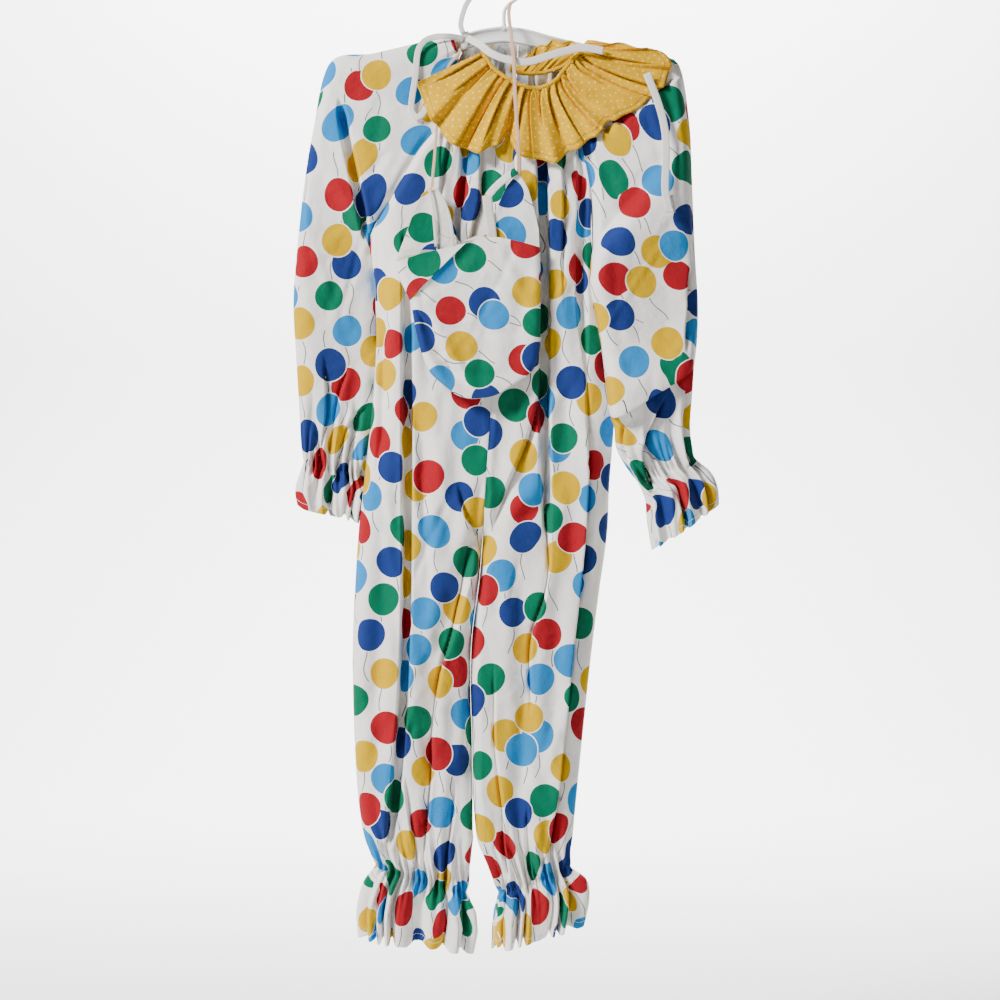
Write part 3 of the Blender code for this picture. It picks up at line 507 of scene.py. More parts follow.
def mesh_piece(name, points, faces, uv, materials):
    """A mesh object from points in mm, four-sided faces and a UV for each point."""
    mesh = bpy.data.meshes.new(name)
    faces = np.asarray(faces, np.int32)
    mesh.vertices.add(len(points))
    mesh.vertices.foreach_set("co", (np.asarray(points, float) * MM).ravel())
    mesh.loops.add(faces.size)
    mesh.loops.foreach_set("vertex_index", faces.ravel())
    mesh.polygons.add(len(faces))
    mesh.polygons.foreach_set("loop_start", np.arange(0, faces.size, 4, dtype=np.int32))
    mesh.update(calc_edges=True)
    return finished(name, mesh, uv, materials)


def cloth_piece(name, grid, uv, materials, outward, thickness=CLOTH_THICKNESS):
    """One layer of cloth. outward is a direction on the outer side of it, and materials are for
    the right side and the wrong side."""
    faces = grid_faces(*grid.shape[:2])
    points = grid.reshape(-1, 3)
    a, b, c = (points[faces[:, k]] for k in (0, 1, 2))
    if (np.cross(b - a, c - a) @ np.array(outward, float)).sum() < 0:
        faces = faces[:, ::-1]
    piece = mesh_piece(name, points, faces, uv.reshape(-1, 2), materials)
    shell = piece.modifiers.new("thickness", "SOLIDIFY")
    shell.thickness, shell.offset = thickness * MM, -1.0
    shell.use_rim, shell.material_offset, shell.material_offset_rim = True, 1, 0
    return piece


def face_front(piece, row=1, front=1):
    """Turns a piece over if its front faces the back. A row of its grid has row faces, and the
    first ones, as many as front says, are the piece's front."""
    mesh = piece.data
    normals = np.zeros(len(mesh.polygons) * 3)
    mesh.polygons.foreach_get("normal", normals)
    ahead = np.arange(len(mesh.polygons)) % row < front
    if normals.reshape(-1, 3)[ahead, 1].sum() > 0:
        mesh.flip_normals()

# %% [markdown]
# ## The suit's outline
# Two half fronts and two half backs hang from the neck to the ankle hems. Their edges are the
# centre seam, which turns into the inseam below the crotch, and the raglan seam, which turns
# into the side seam below the underarm. Front and back stand apart as far as depth says and
# meet at the closed seams.

# %% The suit's outline
BODY = table(
    "mid_x mid_z left_x left_z right_x right_z depth",
    (18, -166, -50, -140, 84, -138, 15),  # neckline
    (15, -196, -80, -194, 92, -184, 19),
    (11, -238, -107, -228, 98, -230, 24),
    (6, -288, -138, -282, 108, -280, 27),
    (1, -345, -167, -335, 110, -345, 29),  # underarm
    (-4, -402, -162, -390, 118, -396, 30),
    (-10, -480, -160, -475, 134, -474, 30),
    (-17, -560, -166, -558, 138, -556, 30),
    (-22, -630, -174, -630, 132, -640, 30),
    (-25, -680, -180, -682, 130, -690, 30),
    (-27, -714, -183, -716, 127, -722, 29),  # crotch
    (-31, -762, -186, -766, 120, -770, 28),
    (-40, -832, -189, -830, 112, -832, 27),
    (-42, -892, -189, -893, 105, -893, 26),
    (-40, -960, -187, -960, 98, -960, 26),
    (-39, -1030, -183, -1028, 91, -1030, 25),
    (-38, -1085, -176, -1078, 86, -1082, 23),
    (-30, -1122, -167, -1104, 83, -1104, 20),
    (-28, -1153, -162, -1118, 84, -1120, 17),  # ankle elastic
    (-27, -1172, -172, -1140, 94, -1138, 20),
    (-26, -1196, -180, -1172, 97, -1160, 23),
    (-27, -1222, -178, -1206, 90, -1192, 24),  # hem
)
UNDERARM, CROTCH, ANKLE, HEM = 4, 10, 18, 21
PARTING = table(
    "s left right",
    (0, 0, 0),
    (15, 0, 0),
    (16, 0, 4),
    (17, 13, 11),
    (18, 17, 19),
    (19, 13, 15),
    (20, 12, 11),
    (21, 17, 12),
)
BACK_RISE = table("mid left right", (84, 48, 46), (54, 34, 28), (28, 14, 12), (10, 4, 3), (0, 0, 0))
SIDE_NAMES = {-1: "left", 1: "right"}
FACING = {"front": -1, "back": 1}
# the hollow along the raglan seam, mm, and the section where it starts on each side
VALLEY_DEPTH, VALLEY_WIDTH, VALLEY_START = 7.5, 6.0, {-1: 0.8, 1: 2.2}


def mid_edge(s, side):
    parting = np.interp(s, PARTING["s"], PARTING[SIDE_NAMES[side]])
    return np.stack([at(BODY["mid_x"], s) + side * (SEAM + parting), at(BODY["mid_z"], s)], axis=-1)


def raglan_gap(s):
    return 2 * SEAM * (1 - ramp(s, UNDERARM - 0.4, UNDERARM))


def side_edge(s, side):
    x, z = (at(BODY[f"{SIDE_NAMES[side]}_{axis}"], s) for axis in "xz")
    return np.stack([x - side * (SEAM + raglan_gap(s)), z], axis=-1)


def back_rise(s, name):
    """How far the back's neckline and what follows it stand higher than the front's."""
    end = len(BACK_RISE[name]) - 1
    return np.where(s < end, at(BACK_RISE[name], np.minimum(s, end)), 0.0)


def seam_valley(s, distance, side):
    """How far the cloth sinks towards the raglan seam, at distance from it in mm."""
    start = VALLEY_START[side]
    along = ramp(s, start, start + 1) * (1 - ramp(s, UNDERARM - 0.6, UNDERARM + 0.3))
    return VALLEY_DEPTH * along * np.exp(-((distance / VALLEY_WIDTH) ** 2))


def openness(s, last_open, closed, depth):
    """Half the gap between front and back at an edge: all of depth, then none from closed on."""
    return SEAM + (depth - SEAM) * np.sqrt(1 - ramp(s, last_open, closed))


def rounded(w, share_0, share_1, round_0, round_1):
    """A section's depth at w, as a share: it rises from share_0 and share_1 at the two edges
    in quarter rounds that take round_0 and round_1 of its width."""

    def rise(t, share):
        t = np.minimum(t, 1.0)
        return share + (1 - share) * np.sqrt(np.maximum(1 - (1 - t) ** 2, 0.0))

    return rise(w / round_0, share_0) * rise((1 - w) / round_1, share_1)


def across(inner, outer, w, half_depth, middle, facing):
    """Points and normals of sections: inner and outer are (rows, 2) in x and z, w is (rows,
    columns), and half_depth and middle are functions of w."""
    length = np.linalg.norm(outer - inner, axis=-1)[:, None]
    direction = ((outer - inner) / length)[:, None, :]

    def base(v):
        return np.stack([v * length, middle(v) + facing * half_depth(v)], axis=-1)

    tangent = base(np.minimum(w + 0.004, 1)) - base(np.maximum(w - 0.004, 0))
    normal = unit(np.stack([-tangent[..., 1], tangent[..., 0]], axis=-1)) * facing
    closed = ((w <= 0) | (w >= 1)) & (half_depth(w) < CLOTH)
    sideways = np.stack([2.0 * w - 1, np.zeros_like(w)], axis=-1)
    normal = np.where(closed[..., None], sideways, normal)
    flat = base(w)
    place = inner[:, None, :] + direction * flat[..., :1]
    return place, flat[..., 1], normal, direction, length


def moved(place, y, normal, direction, height):
    """The sections' points, moved out by height along their normals."""
    place = place + direction * (normal[..., 0] * height)[..., None]
    y = y + normal[..., 1] * height
    return np.stack([place[..., 0], y, place[..., 1]], axis=-1)

# %% [markdown]
# ## Folds
# Cloth that is too wide for its place lies in folds, and each kind has its own form here. A
# pleat is an edge of cloth that lies over its neighbour: a raised lip, a step down and a shaded
# hollow, with a stretch of cloth hidden under it, so the print breaks off at the edge. A trough
# is a hollow between two such edges. Gathers are short, crowded grooves that run out from a
# seam. Creases are shallow strokes. Each gives the height of the cloth and how much cloth it
# takes up, and the two together keep the balloons at their true size on what shows.

# %% Folds
PLEAT_RELIEF, TROUGH_RELIEF = 1.8, 1.25  # how much deeper than its table says a fold is made
FADE_RUN = 16  # a fold that fades does so over this many times its hidden cloth
CRIMP_DEPTH, CRIMP_REACH = 1.7, 7


def soft_step(x, width):
    """From 0 to 1 about x = 0."""
    return 0.5 + 0.5 * np.tanh(x / width)


def bell(x, width):
    """1 at x = 0, falling off to both sides."""
    return np.exp(-((x / width) ** 2))


def beside(x, z, path):
    """How far points lie to the right of a path that runs down, and their share of the way."""
    path = smooth_path(path, 5 * len(path))
    run = run_length(path)
    best = np.full(x.shape, 1e9)
    side, share = np.zeros(x.shape), np.zeros(x.shape)
    for (x0, z0), (x1, z1), start in zip(path[:-1], path[1:], run, strict=False):
        dx, dz = x1 - x0, z1 - z0
        length = math.hypot(dx, dz)
        t = np.clip(((x - x0) * dx + (z - z0) * dz) / length**2, 0, 1)
        off_x, off_z = x - x0 - t * dx, z - z0 - t * dz
        distance = np.hypot(off_x, off_z)
        closer = distance < best
        best = np.where(closer, distance, best)
        side = np.where(closer, np.where(off_x * dz - off_z * dx < 0, distance, -distance), side)
        share = np.where(closer, (start + t * length) / run[-1], share)
    return side, share


def faded(share, top, foot):
    """1 along a fold, and 0 at its ends if top or foot gives a share to fade over."""
    fade = np.ones_like(share)
    if top:
        fade = fade * ramp(share, 0.0, top)
    if foot:
        fade = fade * (1 - ramp(share, 1 - foot, 1.0))
    return fade


def hidden_beyond(x, z, path, edge, tuck, top, foot):
    """Cloth hidden in a fold, for points to the right of it. Where the fold fades, it does so
    slowly, so as not to shear the print."""
    fine = smooth_path(path, 60)[::-1]
    off = x - np.interp(z, fine[:, 1], fine[:, 0]) - edge
    fade = np.ones_like(z)
    if top:
        fade = fade * np.clip((fine[-1, 1] - z) / (FADE_RUN * tuck), 0, 1)
    if foot:
        fade = fade * np.clip((z - fine[0, 1]) / (FADE_RUN * tuck), 0, 1)
    return tuck * fade * soft_step(off, 0.9)


def pleats(x, z, rows):
    """Heights and hidden cloth, both in mm. The cloth hidden grows to the right."""
    height, hidden = np.zeros_like(x), np.zeros_like(x)
    for over, step, tuck, top, foot, path in rows:
        path = trail(path)
        right, share = beside(x, z, path)
        fade = faded(share, top, foot)
        up = right if over == "right" else -right
        lip = soft_step(up, 1.2)
        raised = 0.5 * np.exp(-np.maximum(up, 0) / 15)
        past = np.maximum(-up, 0)
        sunk = 0.65 * np.exp(-past / 9) + 0.9 * bell(past, 2.4)
        height += PLEAT_RELIEF * step * fade * (lip * raised - (1 - lip) * sunk)
        edge = -0.8 if over == "right" else 0.8
        hidden += hidden_beyond(x, z, path, edge, tuck, top, foot)
    return height, hidden


def troughs(x, z, rows):
    """Hollows with steep sides, as far across as twice half, with cloth hidden in each side."""
    height, hidden = np.zeros_like(x), np.zeros_like(x)
    for half, depth, tuck, top, foot, path in rows:
        path = trail(path)
        right, share = beside(x, z, path)
        fade = faded(share, top, foot)
        wide = half * (0.25 + 0.75 * fade)
        height -= TROUGH_RELIEF * depth * fade * soft_step(wide - np.abs(right), 1.25)
        for edge in (-half, half):
            hidden += hidden_beyond(x, z, path, edge, tuck / 2, top, foot)
    return height, hidden


def gathers(place, distance, span, seed, count, depth, reach, width, tuck):
    """Grooves that run out from a gathered seam: place is along the seam and distance away from
    it, in mm. Each groove's depth, reach and width vary about the given ones. The cloth hidden
    grows along the seam."""
    rng = np.random.default_rng(seed)
    height, hidden = np.zeros_like(place), np.zeros_like(place)
    for k in range(count):
        middle = span * (k + 0.5 + rng.uniform(-0.34, 0.34)) / count
        far = reach * rng.uniform(0.4, 1.8)
        deep = depth * rng.uniform(0.5, 1.4)
        wide = width * rng.uniform(0.7, 1.3) * (1 + distance / far * 0.9)
        lean = rng.uniform(-0.13, 0.13)
        x = (place - middle - lean * distance) / wide
        fade = np.exp(-((distance / far) ** 1.5))
        groove = np.exp(-np.abs(x) ** 1.3)
        shoulder = bell(np.abs(x) - 2.0, 1.0)
        height -= deep * fade * (groove - 0.4 * shoulder)
        hidden += tuck * fade * soft_step(x, 0.5)
    return height, hidden


def strokes(x, z, rows):
    """Creases drawn from one (x, z) to another, in mm."""
    height = np.zeros_like(x)
    for x0, z0, x1, z1, depth, width in rows:
        dx, dz = x1 - x0, z1 - z0
        length = math.hypot(dx, dz)
        t = ((x - x0) * dx + (z - z0) * dz) / length**2
        off = ((x - x0) * dz - (z - z0) * dx) / length / width
        ends = ramp(t, -0.12, 0.22) * (1 - ramp(t, 0.78, 1.12))
        height -= depth * ends * (bell(off, 1.0) - 0.4 * bell(np.abs(off) - 1.9, 1.0))
    return height


def scattered(seed, count, x_range, z_range, depth=1.5, slant=0.35):
    """Random small creases for strokes(), mostly upright."""
    rng = np.random.default_rng(seed)
    rows = []
    for _ in range(count):
        x, z = rng.uniform(*x_range), rng.uniform(*z_range)
        angle = rng.normal(0, slant)
        reach = rng.uniform(20, 90)
        dx, dz = math.sin(angle) * reach, math.cos(angle) * reach
        deep, wide = rng.uniform(-0.7, 1.0) * depth, rng.uniform(3.5, 10)
        rows.append((x - dx, z - dz, x + dx, z + dz, deep, wide))
    return rows


def flutes(turn, waves, seed):
    """A ruffle's waves round its ring, from -1 to 1, none quite like the next."""
    rng = np.random.default_rng(seed)

    def wave(times):
        return np.sin(2 * np.pi * (times * turn + rng.uniform()))

    warp = sum(rng.uniform(0.03, 0.09) * wave(k) for k in (1, 2, 3, 5))
    phase = 2 * np.pi * waves * (turn + warp / 2)
    size = 1 + 0.35 * wave(3) + 0.2 * wave(7)
    tubes = 2 * np.abs(np.sin(phase / 2)) ** 0.75 - 1
    return size * (0.75 * tubes - 0.25 * np.cos(phase))


def crimp(place, distance, seed):
    """Fine crumples along a line of elastic."""
    waves = np.sin(place / 0.62 + 2.1 * np.sin(place / 5.3 + seed))
    waves = waves + 0.7 * np.sin(place / 0.95 + seed)
    return CRIMP_DEPTH * waves * bell(distance, CRIMP_REACH)


def drawn_folds(x, z, pleat_rows, trough_rows):
    """The folds of both tables together: height, and the cloth that they hide."""
    pleated, hollow = pleats(x, z, pleat_rows), troughs(x, z, trough_rows)
    return pleated[0] + hollow[0], pleated[1] + hollow[1]

# %% [markdown]
# ## Where the suit's folds lie
# The main pleats and troughs are listed, one row for each, with a path down the cloth in
# x and z. A pleat lies over to the left or to the right, and its hidden cloth is its intake.
# Front and back differ, as they do on a real hanger, where the front's cloth is heavier with
# folds.

# %% Where the suit's folds lie
# over, step, hidden cloth, share faded at the top and at the foot, path in x and z
PLEATS = {
    ("front", -1): [
        ("left", 6, 24, 0.1, 0.06,
         "-128 -314, -126 -370, -126 -638, -126 -775, -131 -916, -140 -1024, -150 -1115"),
        ("left", 5, 14, 0, 0.4, "-24 -190, -28 -225, -30 -290, -39 -326, -45 -375, -48 -430"),
        ("left", 4, 10, 0.1, 0.5, "-66 -205, -70 -224, -76 -256, -81 -306"),
        ("right", 7, 22, 0.12, 0.06,
         "-36 -700, -44 -749, -60 -816, -80 -882, -89 -950, -90 -1001, -96 -1074, -100 -1115"),
        ("left", 4, 10, 0.3, 0.15, "-60 -642, -49 -675, -39 -695, -29 -711"),
        ("left", 4, 12, 0.3, 0, "-124 -1000, -120 -1038, -116 -1069, -111 -1104, -114 -1128"),
        ("right", 4, 10, 0.3, 0, "-60 -1010, -62 -1050, -70 -1100, -72 -1135"),
        ("left", 3, 8, 0.3, 0.3, "-158 -420, -156 -520, -160 -640"),
    ],
    ("front", 1): [
        ("right", 5, 14, 0, 0.4, "-2 -215, -1 -288, -5 -338, -10 -420"),
        ("right", 4, 12, 0, 0.5, "12 -205, 14 -275, 11 -325"),
        ("left", 4, 10, 0, 0.5, "70 -200, 74 -288, 72 -362, 74 -430"),
        ("left", 6, 22, 0.3, 0.05,
         "91 -450, 99 -481, 104 -578, 106 -638, 101 -726, 94 -794, 85 -871, 78 -944, 68 -1031, "
         "56 -1106"),
        ("right", 6, 18, 0.3, 0.05,
         "55 -500, 54 -604, 52 -682, 55 -716, 56 -750, 49 -788, 36 -825, 32 -862, 35 -930"),
        ("left", 5, 10, 0.1, 0.4,
         "45 -500, 45 -526, 41 -540, 35 -569, 25 -598, 8 -638, -12 -686, -25 -714"),
        ("right", 5, 16, 0.25, 0.05, "-12 -860, -12 -900, -11 -969, -2 -1046, 0 -1091, 8 -1136"),
        ("right", 4, 10, 0.3, 0, "30 -1040, 30 -1080, 34 -1120"),
    ],
    ("back", -1): [
        ("right", 6, 22, 0, 0.1,
         "-62 -190, -78 -300, -88 -460, -92 -640, -96 -820, -110 -1000, -118 -1110"),
        ("left", 5, 16, 0, 0.4, "-30 -160, -40 -280, -46 -420, -44 -560"),
        ("left", 6, 18, 0.2, 0.05, "-140 -420, -136 -600, -142 -800, -150 -1000, -152 -1110"),
        ("right", 4, 12, 0.3, 0, "-66 -900, -70 -1010, -66 -1125"),
    ],
    ("back", 1): [
        ("left", 6, 22, 0, 0.1, "62 -190, 66 -300, 72 -460, 76 -640, 66 -820, 56 -1000, 50 -1110"),
        ("right", 5, 16, 0, 0.4, "36 -160, 30 -280, 24 -420, 26 -560"),
        ("right", 5, 14, 0.2, 0.05, "104 -420, 112 -600, 104 -800, 88 -1000, 76 -1110"),
        ("left", 4, 12, 0.3, 0, "8 -880, 6 -1000, 12 -1130"),
    ],
}
# half width, depth, hidden cloth, share faded at the top and at the foot, path in x and z
TROUGHS = {
    ("front", -1): [
        (4.6, 12, 10, 0.12, 0.1,
         "-120 -372, -119 -500, -119 -640, -120 -775, -125 -916, -133 -1024, -143 -1106"),
        (4.2, 12, 18, 0, 0.5, "-46 -205, -52 -279, -58 -314, -59 -350, -62 -420"),
    ],
    ("front", 1): [
        (6.0, 20, 34, 0, 0.25, "46 -190, 49 -325, 50 -480, 50 -560, 54 -690, 56 -760"),
        (6.0, 9, 20, 0, 0.3, "97 -195, 98 -290, 97 -420, 104 -520"),
    ],
    ("back", -1): [(4.0, 9, 20, 0, 0.4, "-10 -120, -14 -260, -16 -420")],
    ("back", 1): [(4.0, 9, 20, 0, 0.4, "84 -160, 90 -280, 96 -430")],
}
# creases of the front, x z to x z, depth and width, mm
FRONT_CREASES = [
    (-30, -690, -58, -770, 4.5, 9),
    (-58, -770, -84, -850, 5.0, 10),
    (-84, -850, -92, -1010, 4.5, 10),
    (-40, -700, -20, -640, 3.5, 9),
    (-10, -690, 30, -620, 3.5, 10),
    (0, -700, 60, -660, 3.0, 10),
    (-45, -705, -100, -655, 3.5, 10),
    (-150, -420, -152, -640, 3.5, 9),
    (-100, -560, -104, -900, 3.5, 11),
    (-150, -640, -158, -1020, 3.5, 9),
    (-66, -880, -58, -1120, 4.0, 9),
    (-105, -330, -92, -560, 3.0, 9),
    (76, -500, 84, -760, 3.0, 10),
    (70, -760, 62, -960, 3.5, 10),
    (20, -740, 14, -900, 4.0, 10),
    (26, -880, 20, -1100, 3.5, 9),
]


print("pleats:", sum(map(len, PLEATS.values())), "troughs:", sum(map(len, TROUGHS.values())))

# %% [markdown]
# ## The four body panels
# Each panel is a grid of points. A front one's are about 1 mm apart across it and 6 mm along it,
# and the plainer backs' a little wider apart. Above and below the ankle elastic both are finer,
# for the gathers. Small creases are scattered between the folds of the tables, because a long
# time on a hanger leaves some everywhere.

# %% The four body panels
# rows' distance in mm and number of columns, and the rows' distance at the ankle elastic
PANEL_GRID = {"front": (5.6, 158), "back": (9.0, 100)}
ANKLE_STEP = 2.6
PANEL_SEEDS = {("front", -1): 11, ("front", 1): 23, ("back", -1): 37, ("back", 1): 41}
# how far from its edges a panel turns in to meet the next one, mm
TURN_AT_MIDDLE, TURN_AT_SIDE, INSEAM_CUT = 40, 34, {-1: 12, 1: 26}
NECK_GATHERS = {"count": 8, "depth": 5.0, "reach": 95, "width": 2.6, "tuck": 9}
ANKLE_GATHERS = {"count": 24, "depth": 8.2, "reach": 28, "width": 1.7, "tuck": 4.4}
ANKLE_WAVES, ANKLE_FLUTE = 12, 8.0  # the ruffle's waves round the leg, and their height
ELASTIC_DENT = 1.8
SCATTERED_CREASES, CREASE_BOX = 110, ((-190, 140), (-1100, -240))
# where each face's panels start on the flat cloth, metres, and the step to the right-hand one
CLOTH_START = {"front": np.array((0.0, 0.0)), "back": np.array((0.97, 0.31))}
RIGHT_START = np.array((0.437, 0.228))


def length_rows(step, fine_step):
    """Values of s for rows about step apart, and fine_step from the ankle elastic down."""
    values = []
    for k in range(HEM):
        drop = abs(BODY["mid_z"][k + 1] - BODY["mid_z"][k])
        count = max(2, int(round(drop / (fine_step if k >= ANKLE - 2 else step))))
        values += [k + i / count for i in range(count)]
    return np.array(values + [HEM])


def flat_cloth(start, direction, run, middle):
    """Where each point lies on the flat cloth: along its own section, from start, where run is
    middle."""
    return start + direction * (run - middle)[..., None]


def soft_waves(x, z, s, seed):
    """Slow, shallow waves of hanging cloth that wander as they run down."""
    broad = 1.5 * np.sin(x / 9.5 + 2.2 * np.sin(z / 97 + seed) + np.sin(z / 41))
    narrow = np.sin(x / 5.3 + 2.9 * np.sin(z / 133 + 2 * seed)) * np.sin(z / 71 + seed)
    return broad * ramp(s, 2, 5), narrow * ramp(s, 1, 4)


def body_panel(face, side):
    facing = FACING[face]
    front = face == "front"
    step, columns = PANEL_GRID[face]
    s = length_rows(step, ANKLE_STEP)
    s2, w2 = np.meshgrid(s, np.linspace(0, 1, columns), indexing="ij")
    inner, outer = mid_edge(s, side), side_edge(s, side)
    if not front:
        inner[:, 1] += back_rise(s, "mid")
        outer[:, 1] += back_rise(s, SIDE_NAMES[side])
    depth = at(BODY["depth"], s)[:, None]
    mid_gap = openness(s, CROTCH - 1.6, CROTCH, depth[:, 0])[:, None]
    side_gap = openness(s, UNDERARM - 1.4, UNDERARM, depth[:, 0])[:, None]
    length = np.linalg.norm(outer - inner, axis=-1)[:, None]
    inseam = ramp(s, CROTCH - 0.5, CROTCH + 1)[:, None]
    turns = (TURN_AT_MIDDLE - inseam * INSEAM_CUT[side]) / length, TURN_AT_SIDE / length

    def half_depth(v):
        return depth * rounded(v, mid_gap / depth, side_gap / depth, *turns)

    section = across(inner, outer, w2, half_depth, lambda v: 0 * v, facing)
    place, y, normal, direction, length = section
    x, z = place[..., 0], place[..., 1]
    inside = ramp(w2, 0.0, 0.05) * ramp(1 - w2, 0.0, 0.05)
    seed = PANEL_SEEDS[face, side]
    elastic = np.argmin(np.abs(s - ANKLE))
    along_elastic = w2 * length[elastic, 0]
    from_elastic = np.abs(z - z[elastic])
    # the ruffle below the elastic
    turn = w2 / 2 if front else 1 - w2 / 2
    waves = ramp(s2, 16.6, 17.9) * 1.0 + ramp(s2, 18.05, 19.3) * ANKLE_FLUTE
    waves = waves * flutes(turn, ANKLE_WAVES, 3 + side)
    # folds, and the cloth that they hide
    drop = np.linalg.norm(place - place[:1], axis=-1)
    neck = gathers(w2 * length[0], drop, length[0, 0], seed, **NECK_GATHERS)
    ankle = gathers(along_elastic, from_elastic, length[elastic, 0], seed + 5, **ANKLE_GATHERS)
    drawn = drawn_folds(x, z, PLEATS[face, side], TROUGHS[face, side])
    soft = strokes(x, z, FRONT_CREASES) if front else 0
    soft = soft + strokes(x, z, scattered(seed + 60, SCATTERED_CREASES, *CREASE_BOX, 2.5))
    for gentle in soft_waves(x, z, s2, seed):
        soft = soft + gentle
    above_hem = 1 - 0.55 * ramp(s2, ANKLE, ANKLE + 1)
    height = waves + inside * (soft + neck[0] + ankle[0] * above_hem + drawn[0])
    height += inside * crimp(along_elastic, from_elastic, seed)
    height -= ELASTIC_DENT * bell(s2 - ANKLE, 0.2)
    grid = moved(place, y, normal, direction, height)
    grid[..., 1] -= facing * seam_valley(s2, (1 - w2) * length, side)
    grid[..., 2] -= ramp(s2, ANKLE + 0.6, HEM) * np.clip(waves, -6, 6) * 0.75
    run = run_length(moved(place, y, normal, direction, waves))
    run = run + side * drawn[1] + neck[1] + ankle[1]
    middle = (place[:, :1] + place[:, -1:]) / 2, (run[:, :1] + run[:, -1:]) / 2
    flat = flat_cloth(middle[0], direction, run, middle[1])
    start = CLOTH_START[face] + RIGHT_START * (side > 0)
    name = f"{face}_{SIDE_NAMES[side]}"
    cotton = (PRINT, PRINT_BACK)
    piece = cloth_piece("printed_" + name, grid, flat * MM + start, cotton, (0, facing, 0))
    return piece, name, grid, run[:, -1] - run[:, 0]


PANEL_LENGTH = 1110
LEAST_SHARE = 0.31  # of its rectangle that a cut piece of cloth covers at least


def sheet_area(width, grid):
    """The cloth's area in square metres: each row's width times the step to the next."""
    steps = np.linalg.norm(np.diff(grid.mean(1), axis=0), axis=-1)
    return float((width[:-1] * steps).sum()) * MM * MM


def declare_sheet(piece, width, length, area):
    flat = (float(width) * MM, float(length) * MM)
    share = min(max(area / (flat[0] * flat[1]), LEAST_SHARE), 1.0)
    area = round(share * flat[0] * flat[1], 3)
    print(piece.name, "flat", tuple(round(c, 3) for c in flat), "area", area)


PANELS = {}
for face in FACING:
    for side in SIDE_NAMES:
        piece, name, grid, width = body_panel(face, side)
        PANELS[face, side] = grid
        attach(piece, "root")
        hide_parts(name)
        declare_sheet(piece, width.max(), PANEL_LENGTH, sheet_area(width, grid))

# %% [markdown]
# ## The sleeves' outline and folds
# A raglan sleeve is one piece that goes from the neckline over the shoulder to the wrist. The
# left sleeve hangs behind the body, the right one in front of it, where it folds over itself at
# the shoulder and at the elbow. The tables give both edges, how far each lies in front of or
# behind the middle, and half the depth between the sleeve's front and back.

# %% The sleeves' outline and folds
SLEEVE_LEFT = table(
    "in_x in_z in_y out_x out_z out_y depth",
    (-50, -140, 0, -64, -80, 0, 14),
    (-80, -194, 0, -112, -92, 0, 17),
    (-107, -228, 0, -164, -104, 1, 19),
    (-138, -282, 0, -218, -116, 3, 20),
    (-167, -335, 0, -240, -205, 7, 19),  # underarm
    (-161, -362, 20, -250, -265, 8, 18),
    (-159, -396, 28, -257, -325, 9, 18),
    (-152, -450, 29, -264, -410, 11, 18),
    (-153, -510, 27, -261, -480, 12, 18),
    (-158, -566, 25, -257, -545, 12, 17),
    (-165, -604, 23, -255, -586, 12, 14),
    (-168, -633, 21, -253, -614, 12, 10),  # wrist elastic
    (-162, -653, 21, -258, -634, 12, 13),
    (-165, -672, 21, -261, -652, 12, 15),
    (-168, -690, 21, -258, -668, 12, 15),  # hem
)
SLEEVE_RIGHT = table(
    "in_x in_z in_y out_x out_z out_y depth",
    (84, -138, 0, 116, -93.5, 0, 14),
    (92, -184, 0, 150, -100.5, 0, 17),
    (98, -230, 0, 184, -108.5, 1, 19),
    (108, -280, 0, 218, -117.5, -1, 20),
    (110, -345, 0, 231, -190, -7, 19),  # underarm
    (107, -372, -30, 234, -255, -12, 18),
    (106, -402, -42, 236, -315, -15, 18),
    (114, -440, -44, 238, -365, -18, 18),
    (121, -482, -43, 241, -415, -20, 18),
    (126, -525, -42, 240, -462, -22, 18),
    (130, -556, -40, 236, -499, -24, 18),  # elbow fold
    (136, -573, -38, 234, -528, -24, 17),
    (140, -602, -38, 231, -574, -24, 15),
    (164, -640, -37, 236, -607, -26, 10),  # wrist elastic
    (180, -662, -37, 250, -628, -26, 13),
    (184, -690, -37, 259, -650, -26, 15),
    (189, -720, -37, 261, -672, -26, 15),  # hem
)
WRIST = {-1: 11, 1: 13}
SLEEVE_PLEATS = {
    ("front", -1): [
        ("left", 4, 10, 0.3, 0, "-225 -480, -225 -504, -222 -519, -222 -552, -225 -572, -228 -590"),
        ("right", 4, 12, 0.3, 0,
         "-192 -490, -195 -501, -200 -515, -206 -534, -212 -572, -216 -600"),
        ("left", 4, 10, 0.3, 0, "-170 -540, -180 -552, -197 -572, -206 -606"),
    ],
    ("front", 1): [
        ("left", 5, 12, 0.2, 0.2, "231 -288, 234 -350, 228 -391, 226 -430, 223 -460, 221 -490"),
        ("left", 8, 14, 0.2, 0, "200 -532, 190 -553, 176 -586, 171 -606, 178 -640"),
        ("left", 6, 12, 0.2, 0, "226 -520, 222 -564, 222 -594, 224 -611"),
        ("right", 5, 8, 0.3, 0.2, "150 -566, 146 -590, 156 -618"),
    ],
    ("back", -1): [
        ("left", 5, 14, 0.1, 0, "-170 -180, -205 -300, -212 -420, -215 -540, -216 -600"),
        ("right", 4, 12, 0.3, 0, "-236 -380, -232 -480, -236 -590"),
    ],
    ("back", 1): [
        ("right", 5, 14, 0.1, 0, "170 -180, 186 -300, 184 -420, 186 -540, 196 -610"),
        ("left", 4, 12, 0.3, 0, "214 -360, 212 -480, 214 -590"),
    ],
}
SLEEVE_TROUGHS = {
    ("front", -1): [
        (5.0, 16, 16, 0.15, 0.08, "-206 -160, -196 -214, -186 -262, -177 -304, -170 -345")
    ],
    ("front", 1): [(2.5, 6, 8, 0.3, 0.2, "206 -640, 215 -656, 224 -680, 229 -695")],
    ("back", -1): [],
    ("back", 1): [],
}
